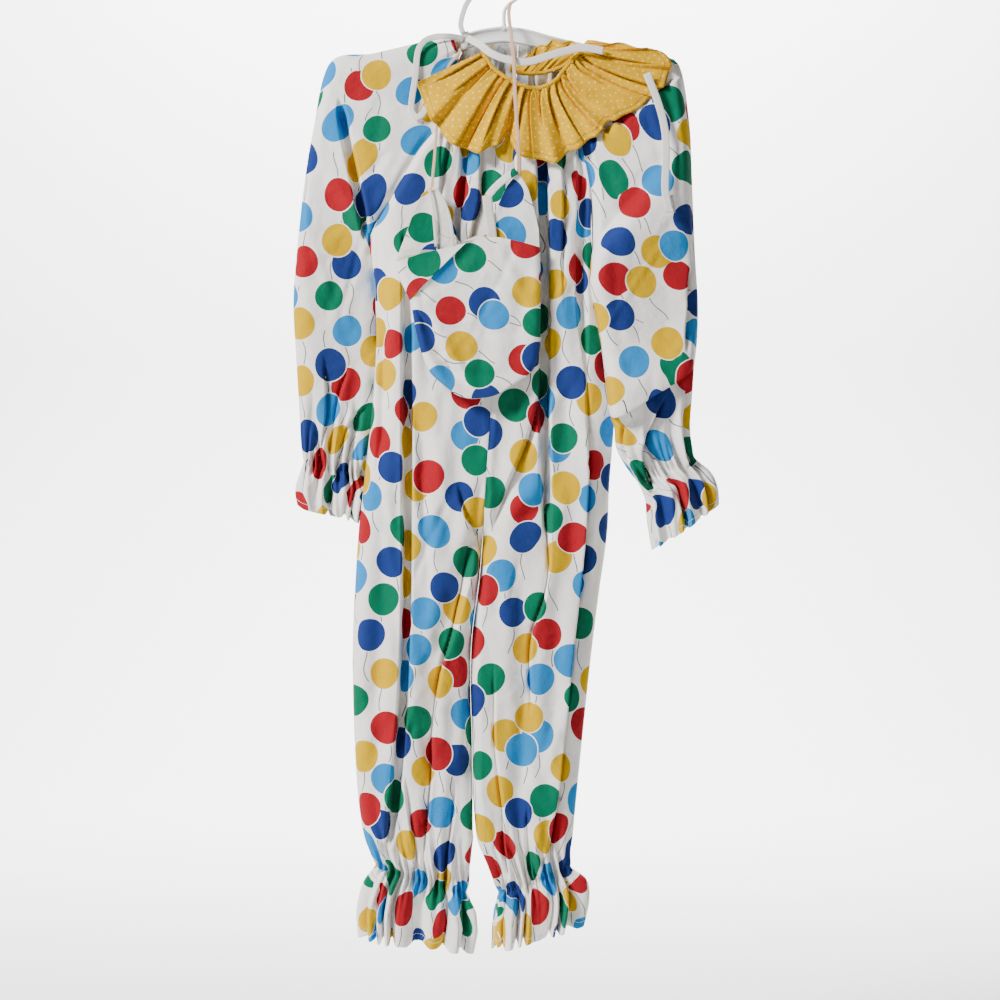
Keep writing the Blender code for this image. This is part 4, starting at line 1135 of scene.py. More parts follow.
# the right sleeve's two folds over itself: from one x and z to another, and the height
SHOULDER_LEDGE = ((104, -216), (205, -144), 13)
ELBOW_LEDGE = ((139, -558), (214, -511), 15)
print("sections:", len(SLEEVE_LEFT["in_x"]), "and", len(SLEEVE_RIGHT["in_x"]))

# %% [markdown]
# ## The two sleeves
# A sleeve's long outer edge is a fold of the cloth, not a seam, so the print runs on round it.
# Over the shoulder the print is cut, as at a shoulder seam. Front and back half are made alike
# and then joined, and the cuff's gathers run out to both sides of the wrist elastic.

# %% The two sleeves
# the print lies turned on each sleeve, degrees
SLEEVE_TURN = {-1: 180, 1: -33}
SHOULDER_POINT = 3.3  # the section at the shoulder's end
# the distance between rows, mm, and smaller ones near the folds, by section
SLEEVE_STEP, CUFF_STEP = 4.2, 2.6
FINE_STEPS = {-1: {2: 2.6, 3: 2.6}, 1: {9: 1.6, 10: 1.4, 11: 2.6}}
SLEEVE_COLUMNS, SLEEVE_TURN_IN = 84, 26
WRIST_WAVES, WRIST_FLUTE, HEM_SCALLOP = 9, 7.2, {-1: 0.8, 1: 0.5}
WRIST_DENT = 1.4
TOP_GATHERS = {"count": 4, "depth": 2.4, "reach": 60, "width": 2.4, "tuck": 6}
CUFF_GATHERS = {"count": 15, "depth": 8.6, "reach": 36, "width": 2.0, "tuck": 3.8}
SLEEVE_CREASES, SLEEVE_BOX = 36, {-1: (-265, -150), 1: (100, 262)}


def above(line, x, z):
    """How far points lie above a slanting line, in mm."""
    (x0, z0), (x1, z1) = line[:2]
    return ((z - z0) * (x1 - x0) - (x - x0) * (z1 - z0)) / math.hypot(x1 - x0, z1 - z0)


def turned(flat, angle, start):
    """Flat coordinates turned by an angle in radians, and then moved sideways by start."""
    x, z = flat[..., 0], flat[..., 1]
    across_grain = x * math.cos(angle) - z * math.sin(angle) + start
    return np.stack([across_grain, x * math.sin(angle) + z * math.cos(angle)], axis=-1)


def opened_over_fold(flat, outer, s):
    """The back half's flat cloth, laid open over the outer fold from the shoulder's point down.

    Above that point the print is cut along the shoulder, as at a shoulder seam.
    """
    first = np.argmax(s >= SHOULDER_POINT)
    along = outer[-1] - outer[first]
    across_fold = np.array([-along[1], along[0]]) / np.linalg.norm(along)
    bow = (outer - outer[first]) @ across_fold
    bow[:first] = 0
    away = (flat - outer[first]) @ across_fold
    return flat + 2 * (bow[:, None] - away)[..., None] * across_fold


def sleeve_rows(side, sections, hem):
    """Values of s, closer together at the folds and from the cuff down."""
    s = []
    for k in range(hem):
        drop = abs(sections["out_z"][k + 1] - sections["out_z"][k])
        drop += 0.4 * abs(sections["out_x"][k + 1] - sections["out_x"][k])
        step = CUFF_STEP if k >= WRIST[side] - 1 else SLEEVE_STEP
        count = max(4, int(round(drop / FINE_STEPS[side].get(k, step))))
        s += [k + i / count for i in range(count)]
    return np.array(s + [hem])


def inner_edges(side, sections, s):
    """The sleeve's inner edge in front and at the back. It is the raglan seam down to the
    underarm and the sleeve's own from there on."""
    joined = (s <= UNDERARM)[:, None]
    edge = side_edge(np.minimum(s, UNDERARM), side)
    edge[:, 0] += 2 * side * (SEAM + raglan_gap(s))
    own = np.stack([at(sections["in_x"], s), at(sections["in_z"], s)], axis=-1)
    last = side_edge(np.array([float(UNDERARM)]), side)[0] + (2 * side * SEAM, 0)
    share = ramp(s, UNDERARM, UNDERARM + 0.5)[:, None]
    front = np.where(joined, edge, last + (own - last) * share)
    back = front.copy()
    back[:, 1] += np.where(joined[:, 0], back_rise(s, SIDE_NAMES[side]), 0)
    return front, back, np.where(joined, 0.0, at(sections["in_y"], s)[:, None] * share)


def ledges(s, w, x, z):
    """The right sleeve's folds over itself at the shoulder and the elbow: the height that they
    add, and how far the cloth hangs down over the elbow."""
    within = ramp(w, 0.0, 0.1) * ramp(1 - w, 0.0, 0.12)
    low = 1 - ramp(above(SHOULDER_LEDGE, x, z), -4, -0.5)
    shoulder = SHOULDER_LEDGE[2] * within * low * (1 - ramp(s, 4.5, 7)) * ramp(s, 0.5, 1.5)
    off = above(ELBOW_LEDGE, x, z)
    elbow = ramp(off, -0.5, 1.8) - 0.35 * bell(off + 3, 4)
    elbow = ELBOW_LEDGE[2] * within * elbow * ramp(s, 8, 9.8)
    overhang = 9 * bell(off - 2.5, 4) - 6 * bell(off + 4, 4)
    return shoulder, elbow, overhang * ramp(w, 0.0, 0.16) * ramp(1 - w, 0.0, 0.2)


def sleeve(side):
    sections = SLEEVE_LEFT if side < 0 else SLEEVE_RIGHT
    wrist, hem = WRIST[side], len(sections["in_x"]) - 1
    s = sleeve_rows(side, sections, hem)
    depth = at(sections["depth"], s)[:, None]
    outer = np.stack([at(sections["out_x"], s), at(sections["out_z"], s)], axis=-1)
    out_y = at(sections["out_y"], s)[:, None]
    front_in, back_in, in_y = inner_edges(side, sections, s)
    body_depth = at(BODY["depth"], np.minimum(s, UNDERARM))
    half_gap = openness(s, UNDERARM - 1.4, UNDERARM, body_depth)
    half_gap = np.where(s <= UNDERARM, half_gap, SEAM)[:, None]
    columns = np.sin(np.linspace(0, np.pi / 2, SLEEVE_COLUMNS)) * 0.35
    columns = columns + np.linspace(0, 1, SLEEVE_COLUMNS) * 0.65
    s2, w2 = np.meshgrid(s, columns, indexing="ij")
    halves, flats, widths = [], [], []
    for face, inner in (("front", front_in), ("back", back_in)):
        length = np.linalg.norm(outer - inner, axis=-1)[:, None]
        turning = np.minimum(SLEEVE_TURN_IN / length, 0.45)

        def half_depth(v, turning=turning):
            return depth * rounded(v, half_gap / depth, 0.0, turning, turning)

        def middle(v):
            return in_y + (out_y - in_y) * v

        section = across(inner, outer, w2, half_depth, middle, FACING[face])
        place, y, normal, direction, length = section
        x, z = place[..., 0], place[..., 1]
        seed = 5 + 10 * (side > 0) + 3 * (face == "back")
        both = ramp(w2, 0.0, 0.08) * ramp(1 - w2, 0.0, 0.08)
        i = np.argmin(np.abs(s - wrist))
        along, away = w2 * length[i, 0], np.linalg.norm(place - place[i][None], axis=-1)
        turn = w2 / 2 if face == "front" else 1 - w2 / 2
        waves = ramp(s2, wrist - 1.2, wrist - 0.1) * 0.8
        waves = waves + ramp(s2, wrist + 0.05, wrist + 1.5) * WRIST_FLUTE
        waves = waves * flutes(turn, WRIST_WAVES, 9 + side)
        drop = np.linalg.norm(place - place[:1], axis=-1)
        neck = gathers(w2 * length[0], drop, length[0, 0], seed + 90, **TOP_GATHERS)
        cuff = gathers(along, away, length[i, 0], seed + 70, **CUFF_GATHERS)
        drawn = drawn_folds(x, z, SLEEVE_PLEATS[face, side], SLEEVE_TROUGHS[face, side])
        box = (SLEEVE_BOX[side], (-640, -130), 1.3, 0.5)
        height = strokes(x, z, scattered(seed + 20, SLEEVE_CREASES, *box))
        height += neck[0] + cuff[0] * (1 - 0.5 * ramp(s2, wrist, wrist + 1)) + drawn[0]
        height = both * (height + crimp(along, away, seed)) + waves
        overhang = 0
        if side > 0 and face == "front":
            shoulder, elbow, overhang = ledges(s2, w2, x, z)
            height += shoulder
            height += elbow
        height -= WRIST_DENT * bell(s2 - wrist, 0.25)
        grid = moved(place, y, normal, direction, height)
        scallop = ramp(s2, wrist + 0.6, hem) * np.clip(waves, -6, 6) * HEM_SCALLOP[side]
        grid[..., 2] -= overhang + scallop * ramp(w2, 0.0, 0.14) * ramp(1 - w2, 0.0, 0.14)
        grid[..., 1] -= FACING[face] * seam_valley(s2, w2 * length, side)
        run = run_length(moved(place, y, normal, direction, waves))
        run = run + side * drawn[1] + neck[1] + cuff[1]
        run = run - run[:, :1]
        widths.append(run[:, -1] - run[:, 0])
        halves.append(grid)
        # cloth beyond the straight way lies sideways below the shoulder, along the row above it
        straight = w2 * length
        spare = run - straight
        sideways = np.array([side, 0.0]) - direction
        sideways = direction + sideways * ramp(s2, 3, 3.8)[..., None]
        flat = flat_cloth(place[:, -1:], direction, straight, straight[:, -1:])
        flats.append(flat + sideways * (spare - spare[:, -1:])[..., None])
    # the back's first column stands just off the fold, so that the print can be cut there
    halves[1][:, -1] = halves[1][:, -1] * 0.85 + halves[1][:, -2] * 0.15
    grid = np.concatenate([halves[0], halves[1][:, ::-1]], axis=1)
    flat = np.concatenate([flats[0], opened_over_fold(flats[1], outer, s)[:, ::-1]], axis=1) * MM
    flat = turned(flat, math.radians(SLEEVE_TURN[side]), 2.1 + side)
    down = run_length(grid.transpose(1, 0, 2)).mean(0)
    name = "sleeve_" + SIDE_NAMES[side]
    piece = cloth_piece("printed_" + name, grid, flat, (PRINT, PRINT_BACK), (0, 0, 0))
    return piece, name, grid, widths[0] + widths[1], down


SLEEVES = {}
for side in SIDE_NAMES:
    piece, name, grid, full, down = sleeve(side)
    SLEEVES[side] = grid
    face_front(piece, grid.shape[1] - 1, (grid.shape[1] - 1) // 2)
    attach(piece, "root")
    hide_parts(name)
    area = float((full[:-1] * np.diff(down)).sum()) * MM * MM
    declare_sheet(piece, full.max(), down[-1], area)

# %% [markdown]
# ## The collar
# The collar is a long strip of yellow cotton, hemmed round three sides, and gathered along the
# fourth on a cord in a rolled casing. Pleats run out from the casing, each over its neighbour,
# and open into soft flutes towards the hem. A few deep folds part the hem into lobes.

# %% The collar
CASING_RADIUS = 2.6
RUFF = table(
    "in_x in_z in_y out_x out_z out_y",
    (-28, -106, -24, -109, -146, -28),
    (-20, -117, -26, -94, -184, -32),
    (-12, -128, -27, -72, -215, -36),
    (0, -137, -28, -40, -232, -37),
    (12, -144, -28, -14, -228, -38),
    (22, -148, -28, 10, -232, -38),
    (34, -151, -28, 40, -243, -38),
    (46, -151, -28, 68, -243, -38),
    (56, -147, -28, 98, -224, -38),
    (65, -141, -28, 124, -204, -37),
    (72, -132, -28, 146, -187, -36),
    (78, -125, -28, 172, -178, -38),
    (83, -119, -28, 196, -152, -37),
    (88, -113, -26, 208, -127, -32),
    (92, -108, -24, 194, -106, -27),
    (95, -104, -21, 146, -96, -22),
    (93, -104, -17, 112, -89, -16),
    (86, -112, -14, 98, -95, -12),
    (74, -122, -13, 82, -91, -9),
    (58, -128, -12, 66, -89, -9),
    (42, -131, -12, 48, -95, -9),
    (24, -131, -12, 28, -108, -10),
    (8, -127, -12, 8, -116, -10),
)
RUFF_END = len(RUFF["in_x"]) - 1
RUFF_FLUTES, RUFF_PLEATS = 15, 27
RUFF_GRID = (34, 760)
RUFF_GATHERS = {"count": 70, "depth": 0.9, "reach": 18, "width": 1.0, "tuck": 0}
COLLAR_WIDTH, COLLAR_THICKNESS = 0.075, 0.7  # the strip's width in metres, its thickness in mm
# deep folds that part the hem into lobes: place in the table above, depth, rise of the hem, width
RUFF_LOBES = table(
    "v deep rise wide",
    (1.5, 7, 3, 0.22),
    (4.75, 19, 20, 0.34),
    (7.5, 8, 5, 0.28),
    (9.2, 9, 9, 0.3),
    (11.3, 9, 9, 0.3),
    (12.6, 8, 5, 0.25),
)


def ruff_edge(edge, v):
    return np.stack([at(RUFF[edge + axis], v) for axis in ("_x", "_y", "_z")], axis=-1)


def gathered_edge(v, out):
    """Points beside the gathered edge, out mm away from the casing's middle line."""
    along = unit(ruff_edge("in", v + 0.3) - ruff_edge("in", v - 0.3))
    inner, outer = ruff_edge("in", v), ruff_edge("out", v)
    side = outer - inner
    side -= along * (side * along).sum(-1, keepdims=True)
    return inner + unit(side) * out


def collar_pleats(run, t, seed):
    """Knife pleats that run from the gathered edge towards the hem, each over its neighbour on
    one side or the other. run is each point's distance along its own row, t its share of the
    way to the hem."""
    rng = np.random.default_rng(seed)
    height, hidden = np.zeros_like(run), np.zeros_like(run)
    places = (np.arange(RUFF_PLEATS) + rng.uniform(-0.3, 0.3, RUFF_PLEATS) + 0.5) / RUFF_PLEATS
    own, before = run[:, -1:], 0.0
    for place in places:
        reach = rng.uniform(0.4, 1.5)
        step = rng.uniform(4.6, 9.6)
        over = rng.choice((-1, 1))
        lean = rng.uniform(-9, 9)
        off = (run - place * run[:, -1:] - lean * t) * over
        fade = 1 - ramp(t, 0.45 * reach, reach)
        lip = soft_step(off, 0.45)
        raised = 0.55 * np.exp(-np.maximum(off, 0) / (4 + 7 * t))
        past = np.maximum(-off, 0)
        sunk = 0.5 * np.exp(-past / (3 + 4 * t)) + 0.7 * bell(past, 1.7)
        height += step * fade * (lip * raised - (1 - lip) * sunk)
        # what the hem has over this row's length lies under the pleats
        hidden += (place - before) * (own[-1] - own) * soft_step(off * over + 0.5 * over, 0.6)
        before = place
    return height, hidden


def ruff_grid():
    v = np.linspace(0, RUFF_END, RUFF_GRID[1])
    t = np.linspace(0, 1, RUFF_GRID[0])
    inner = gathered_edge(v, CASING_RADIUS - 0.2)[None]
    outer = ruff_edge("out", v)[None]
    width = np.linalg.norm(outer - inner, axis=-1)
    v2, t2 = np.broadcast_arrays(v[None], t[:, None])
    base = inner + (outer - inner) * t2[..., None]
    run = run_length(base)
    height, hidden = collar_pleats(run, t2, 8)
    rng = np.random.default_rng(5)
    warp = np.interp(v, np.linspace(0, RUFF_END, 24), rng.normal(0, 0.3, 24))[None]
    waves = -np.cos(2 * np.pi * (RUFF_FLUTES * v2 / RUFF_END + warp * t2))
    strength = np.interp(v, np.linspace(0, RUFF_END, 27), rng.uniform(0.5, 1.4, 27))[None]
    height = height + strength * 4.2 * t2**1.4 * waves
    fine = gathers(run, t2 * 80, float(run[0, -1]), 9, **RUFF_GATHERS)[0]
    height = (height + fine) * np.minimum(width / 60, 1)
    grid = base.copy()
    grid[..., 2] -= 2.5 * t2**2 * waves
    for place, deep, rise, wide in zip(*RUFF_LOBES.values(), strict=True):
        near = bell(v2 - place, wide)
        height = height - deep * near * t2
        grid[..., 2] += rise * near * t2**3
    grid[..., 1] -= height
    flat = np.stack([run + hidden, width * t2], axis=-1) * MM
    return grid, flat


COLLAR_GRID, flat = ruff_grid()
hem = run_length(COLLAR_GRID[-1])
yellow = (PIN_DOT, PIN_DOT_BACK)
piece = cloth_piece("pin_dot_collar", COLLAR_GRID, flat, yellow, (0, 0, 0), COLLAR_THICKNESS)
face_front(piece)
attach(piece, "root")
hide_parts("collar_ruff")
print(piece.name, "hem length", round(float(hem[-1])), "mm")

# %% [markdown]
# ## The rolled casing
# The collar's gathered edge is rolled over its cord, so it is a puckered tube. The same closed
# tube, with other sections, makes the tapes and the hanger, as both keep one section all along.

# %% The rolled casing
CASING_SIDES, PUCKER_HEIGHT = 14, 0.32
TUBE_UV = 0.016  # what a tube's UV counts once round, metres


def tube_grid(path, radius, sides, ripple=0.0):
    """Rings round a path in mm. radius may be an array, and ripple is added to it."""
    path = np.asarray(path, float)
    step = unit(np.gradient(path, axis=0))
    first = unit(np.cross(step, (0.0, 1.0, 0.0)))
    second = np.cross(step, first)
    a = np.linspace(0, 2 * np.pi, sides, endpoint=False)[None, :, None]
    radius = np.broadcast_to(np.asarray(radius, float), (len(path),))[:, None] + ripple
    ring = first[:, None] * np.cos(a) + second[:, None] * np.sin(a)
    return path[:, None] + ring * radius[..., None]


def recalculated(piece):
    """Turns a closed shape's faces outwards."""
    work = bmesh.new()
    work.from_mesh(piece.data)
    bmesh.ops.recalc_face_normals(work, faces=work.faces)
    work.to_mesh(piece.data)
    work.free()
    return piece


def closed_tube(name, grid, material):
    """Rings of points joined to a tube with closed ends, its UV round and along it."""
    rows, sides = grid.shape[:2]
    ring = np.arange(sides)
    a = np.arange(rows - 1)[:, None] * sides + ring
    b = np.arange(rows - 1)[:, None] * sides + (ring + 1) % sides
    faces = np.stack([a, b, b + sides, a + sides], axis=-1).reshape(-1, 4).tolist()
    n, last = rows * sides, (rows - 1) * sides
    faces += [(n, (k + 1) % sides, k) for k in range(sides)]
    faces += [(n + 1, last + k, last + (k + 1) % sides) for k in range(sides)]
    points = np.concatenate([grid.reshape(-1, 3), grid[[0, -1]].mean(1)])
    run = run_length(grid[:, 0]) * MM
    uv = np.stack(np.broadcast_arrays(ring / sides * TUBE_UV, run[:, None]), axis=-1)
    uv = np.concatenate([uv.reshape(-1, 2), [[0, 0], [0, run[-1]]]])
    mesh = bpy.data.meshes.new(name)
    mesh.from_pydata((points * MM).tolist(), [], faces)
    return recalculated(finished(name, mesh, uv, [material]))


casing_path = gathered_edge(np.linspace(0, RUFF_END, 420), 0.0)
puckers = PUCKER_HEIGHT * np.sin(run_length(casing_path) * 2.1)[:, None]
puckers = puckers * (1 + 0.4 * np.sin(np.arange(CASING_SIDES) * 1.3))[None]
rings = tube_grid(casing_path, CASING_RADIUS - 0.1, CASING_SIDES, puckers)
piece = closed_tube("collar_rolled_casing", rings, PIN_DOT)
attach(piece, "root")
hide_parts("collar_casing")
print(piece.name, "length", round(float(run_length(casing_path)[-1])), "mm")

# %% [markdown]
# ## The hat's outline
# The hat is a soft cone of the same print, hung upside down by its two side corners from its
# chin elastics. The mouth's edge has a white binding, and a short piece of white elastic draws
# the back in.

# %% The hat's outline
HAT = table(
    "left_x left_z right_x right_z depth",
    (-135, -370, 44, -351, 5),
    (-127, -394, 45, -385, 5.5),
    (-116, -418, 45, -420, 5.5),
    (-109, -452, 45, -455, 6.5),
    (-101, -484, 43, -482, 7),
    (-88, -511, 32, -508, 7),
    (-62, -537, 4, -531, 6),
)
HAT_Y = -45
HAT_TOP_Y = HAT_Y + 4.5  # where the back's top edge hangs
HAT_COLUMNS, FRONT_ROWS, BACK_ROWS, TOP_ROWS = 130, 110, 64, 36
CORNER_GRID = (26, 70)
# the print lies along each piece's own grain: the turn in radians, and the start in metres
HAT_GRAIN, CORNER_GRAIN = math.radians(-62), math.radians(-62) + 2.2
FRONT_START, CORNER_START, BACK_START = 4.2, 4.53, 5.3
CUT_OVER = 1.03  # how much larger a piece is cut than it hangs
HAT_LIP = table("w rise", (0, 0), (0.19, 8), (0.41, 12), (0.56, 22), (0.73, 17), (0.87, 9), (1, 0))
HAT_TOP = table(
    "x z",
    (-121, -333), (-111, -305), (-101, -284), (-89, -276), (-78, -287), (-69, -306), (-63, -332),
    (-50, -350), (-32, -354), (-20, -338), (-12, -308), (4, -274), (18, -257), (30, -278),
    (38, -306), (43, -330),
)
HAT_CREASES = [
    (-100, -440, -62, -514, 3.5, 7),
    (-92, -470, -40, -528, 2.5, 6),
    (-66, -505, 6, -512, 1.8, 7),
    (-20, -400, -30, -520, 1.4, 9),
    (30, -370, 10, -500, 1.6, 9),
    (-60, -370, -20, -372, 1.2, 7),
    (0, -362, 40, -400, 1.4, 8),
]
# the hat's left corner is folded over along this line, x and z
HAT_FLAP = ((-42, -342), (-117, -417))
# and its side is tucked under along this one
HAT_TUCK = ((-118, -414), (-48, -508))
# the mouth's edges that carry a white binding, left and right of the opening
HAT_BINDINGS = [
    [(-92, -280), (-88, -300), (-86, -322), (-84, -350)],
    [(-88, -277), (-80, -284), (-73, -296), (-67, -314), (-64, -332), (-62, -350)],
]


print("hat, widest:", HAT["right_x"].max() - HAT["left_x"].min(), "mm")

# %% [markdown]
# ## The hat's cloth
# Front and back are made like the suit's panels. The back stands taller, with the two corners
# that the elastics hold. The front's left corner has fallen over, so it is a small piece of its
# own, a fan of rows from its fold line, laid on the front's cloth as the real one lies there.

# %% The hat's cloth
def front_folds(x, z):
    """The front's folded corner and tucked side, as heights in the order they are added."""
    flap, tuck = above(HAT_FLAP, x, z), above(HAT_TUCK, x, z)
    along = ramp(x, -122, -108) * (1 - ramp(x, -70, -44))
    return (
        1.2 * np.exp(-np.abs(flap) / 26),
        3.4 * along * soft_step(tuck, 0.6) * np.exp(-np.maximum(tuck, 0) / 24),
        -4.5 * along * soft_step(-tuck, 0.9) * np.exp(np.minimum(tuck, 0) / 11),
    )


def hat_face(facing):
    s = np.linspace(0, len(HAT["left_x"]) - 1, FRONT_ROWS if facing < 0 else BACK_ROWS)
    s2, w2 = np.meshgrid(s, np.linspace(0, 1, HAT_COLUMNS), indexing="ij")
    inner, outer = (
        np.stack([at(HAT[edge + "_x"], s), at(HAT[edge + "_z"], s)], axis=-1)
        for edge in ("left", "right")
    )
    length = np.linalg.norm(outer - inner, axis=-1)[:, None]
    depth = at(HAT["depth"], s)[:, None]

    def half_depth(v):
        return depth * rounded(v, SEAM / depth, SEAM / depth, 9 / length, 9 / length)

    section = across(inner, outer, w2, half_depth, lambda v: HAT_Y + 0 * v, facing)
    place, y, normal, direction, length = section
    x, z = place[..., 0], place[..., 1]
    creases = HAT_CREASES + scattered(77 + facing, 22, (-130, 45), (-540, -350), 1.0, 0.8)
    height = strokes(x, z, creases)
    for fold in front_folds(x, z) if facing < 0 else ():
        height += fold
    height *= ramp(w2, 0, 0.08) * ramp(1 - w2, 0, 0.08)
    grid = moved(place, y, normal, direction, height)
    grid[..., 2] += ramp(s2, 4.4, 6) * (9 * np.abs(2 * w2 - 1) ** 2.5 - 3)
    return s2, w2, grid


def hat_corner(front):
    """The folded corner: a fan from the fold line to the outline, laid on the front's cloth."""
    top_edge = front[0, : np.argmin(np.abs(front[0, :, 0] - HAT_FLAP[0][0])) + 1][::-1]
    left_edge = front[:, 0][front[:, 0, 2] > HAT_FLAP[1][1]]
    outline = np.concatenate([top_edge, left_edge[1:]])
    run = run_length(outline)
    share = np.linspace(0, 1, CORNER_GRID[1])
    outline = np.stack([np.interp(share * run[-1], run, column) for column in outline.T], axis=-1)
    fold = outline[0] + (outline[-1] - outline[0]) * share[:, None]
    t = np.linspace(0, 1, CORNER_GRID[0])[:, None, None]
    flap = fold + (outline - fold) * t
    near = ((flap[:, :, None, None, ::2] - front[None, None, ::2, ::2, ::2]) ** 2).sum(-1)
    nearest = near.reshape(*near.shape[:2], -1).argmin(-1)
    arch = np.sin(np.pi * share)
    y = front[::2, ::2, 1].reshape(-1)[nearest] - 1.6
    y = y - 1.6 * np.exp(-t[..., 0] / 0.15) * arch**0.5
    # each point in from the rim goes to its neighbours' middle, which smooths the cloth
    for _ in range(14):
        y[1:-1, 1:-1] = (y[:-2, 1:-1] + y[2:, 1:-1] + y[1:-1, :-2] + y[1:-1, 2:]) / 4
    y = y + np.sin(flap[..., 0] / 9 + 0.6 * np.sin(flap[..., 2] / 13)) * 0.5 * arch
    flap[..., 1] = y
    return flap


def hat_back():
    """The back with its two tall corners, which stand above the mouth's front edge."""
    _, _, back = hat_face(1)
    points = np.arange(len(HAT_TOP["x"]))
    even = np.linspace(0, points[-1], HAT_COLUMNS)
    x, z = (np.interp(even, points, HAT_TOP[axis]) for axis in "xz")
    top = np.stack([x, np.full(HAT_COLUMNS, HAT_TOP_Y), z], axis=-1)
    steps = np.linspace(0, 1, TOP_ROWS)[:-1, None, None]
    upper = top[None] + (back[0][None] - top[None]) * steps
    t = steps[..., 0]
    ripple = 0.9 * np.sin(upper[..., 0] / 5.5) * (1 - t)
    upper[..., 1] = HAT_TOP_Y + 0.8 * np.sin(np.pi * t) + ripple
    return np.concatenate([upper, back], axis=0)


def right_side_out(piece, grid):
    """Turns the two tall corners, so that the print's right side faces the front as well."""
    piece.data.materials.append(PRINT)
    centres = grid[:-1, :-1].reshape(-1, 3)
    x, z = centres[:, 0], centres[:, 2]
    arch = (x > -89 + 0.06 * (-z - 276)) & (x < -52)
    inside_out = np.where(arch | (z < -352), 0, 1).astype(np.int32)
    piece.data.polygons.foreach_set("material_index", inside_out)


def hat_pieces():
    s2, w2, front = hat_face(-1)
    front[..., 2] += (1 - ramp(s2, 0, 1.2)) * np.interp(w2, HAT_LIP["w"], HAT_LIP["rise"])
    corner, back = hat_corner(front), hat_back()
    rows = (
        ("hat_front", "printed_hat_front", front, HAT_GRAIN, FRONT_START, -1),
        ("hat_front", "printed_hat_corner", corner, CORNER_GRAIN, CORNER_START, -1),
        ("hat_back", "printed_hat_back", back, HAT_GRAIN, BACK_START, 1),
    )
    for node_name, name, grid, grain, start, facing in rows:
        flat = turned(grid[..., ::2] * MM, grain, start)
        piece = cloth_piece(name, grid, flat, (PRINT, PRINT_BACK), (0, facing, 0))
        if facing > 0:
            right_side_out(piece, grid)
        yield node_name, piece, grid


for name, piece, grid in hat_pieces():
    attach(piece, "root")
    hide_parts(name)
    low, high = grid.reshape(-1, 3).min(0), grid.reshape(-1, 3).max(0)
    cut = ((high[0] - low[0]) * MM * CUT_OVER, (high[2] - low[2]) * MM * CUT_OVER)
    step_x = np.linalg.norm(np.diff(grid, axis=1), axis=-1)[:-1]
    step_z = np.abs(np.diff(grid[..., 2], axis=0))[:, :-1]
    area = float((step_x * step_z).sum()) * MM * MM
    area = max(min(area, cut[0] * cut[1]), LEAST_SHARE * cut[0] * cut[1])
    print(piece.name, "area", round(area, 4), "flat", tuple(round(c, 3) for c in cut))

# %% [markdown]
# ## Tapes and elastics
# The costume ties with narrow white cotton tape, and the hat hangs from two peach elastics. Each
# is a flat band swept along its route, rounded at its woven edges and a little hollow between.

# %% Tapes and elastics
HAT_CORD_LEFT = trail(
    "-56.5 -4.9 -88, -56.5 -5.2 -96, -55.2 -11 -101.5, -55.5 -17 -106, -61 -19 -113, "
    "-69 -19.6 -124, -74 -20.5 -142, -78 -21.5 -165, -83 -25 -195, -86 -33 -238, "
    "-87.5 -38.5 -256, -88.5 -42.2 -270, -89 -42.6 -277, -89 -42.6 -283"
)
HAT_CORD_RIGHT = trail(
    "8.5 -3.4 -41.5, 7 -4.2 -47, 6 -10 -58, 8.5 -29 -84, 12 -44 -120, 14 -49.5 -170, 17 -51 -215, "
    "18 -46 -240, 18 -42.7 -254, 18 -42.5 -262"
)
TIE_TOP = trail(
    "-51 -7.4 -80, -54 -7.4 -68, -48 -5 -46, -39 -3 -32, -32 -1.5 -22, -28.2 -0.5 -16.5"
)
TIE_FRONT = trail(
    "-46 -7.4 -86, -37 -15 -92, -28 -26 -99, -16 -36 -110, 4 -39 -118, 28 -39 -121, 56 -38 -113, "
    "80 -36 -106, 98 -36 -103, 123 -36 -107"
)
TIE_LEFT = trail(
    "-50.2 -7.3 -88, -58 -10.4 -86, -72 -16.3 -85.5, -86 -17 -86.5, -99 -19 -92, -107 -21 -106, "
    "-110 -22 -136, -114 -23 -162, -115 -23 -178, -109 -24 -187, -101 -24 -183, -97 -23.5 -174"
)
TIE_RIGHT = trail(
    "176 -44 -136, 187 -45 -164, 195 -46 -190, 199 -50 -216, 199 -54 -248, 198 -56 -280, "
    "202 -57 -302, 205 -55 -309, 206 -52.5 -303, 203 -51.5 -288"
)
HAT_TURNED_HEM = [(-23, -43.2, -292), (-13, -43.8, -279), (0, -44.4, -267), (15, -44.6, -256)]
HAT_ELASTIC = [(-14, -43.5, -344), (-16, -43.4, -325), (-19, -43.4, -306), (-21, -43.4, -287)]


BAND_STEP = 2.2
# width and thickness
BINDING_SIZE, ELASTIC_SIZE, TURNED_HEM_SIZE = (3.4, 1.3), (12, 1.6), (9, 1.4)
# half of a band's section, as shares of its width and thickness: rounded, thin in the middle
HALF_PROFILE = [(-0.5, 0.0), (-0.47, 0.42), (-0.3, 0.5), (0, 0.44)]
HALF_PROFILE += [(-a, b) for a, b in HALF_PROFILE[2::-1]]


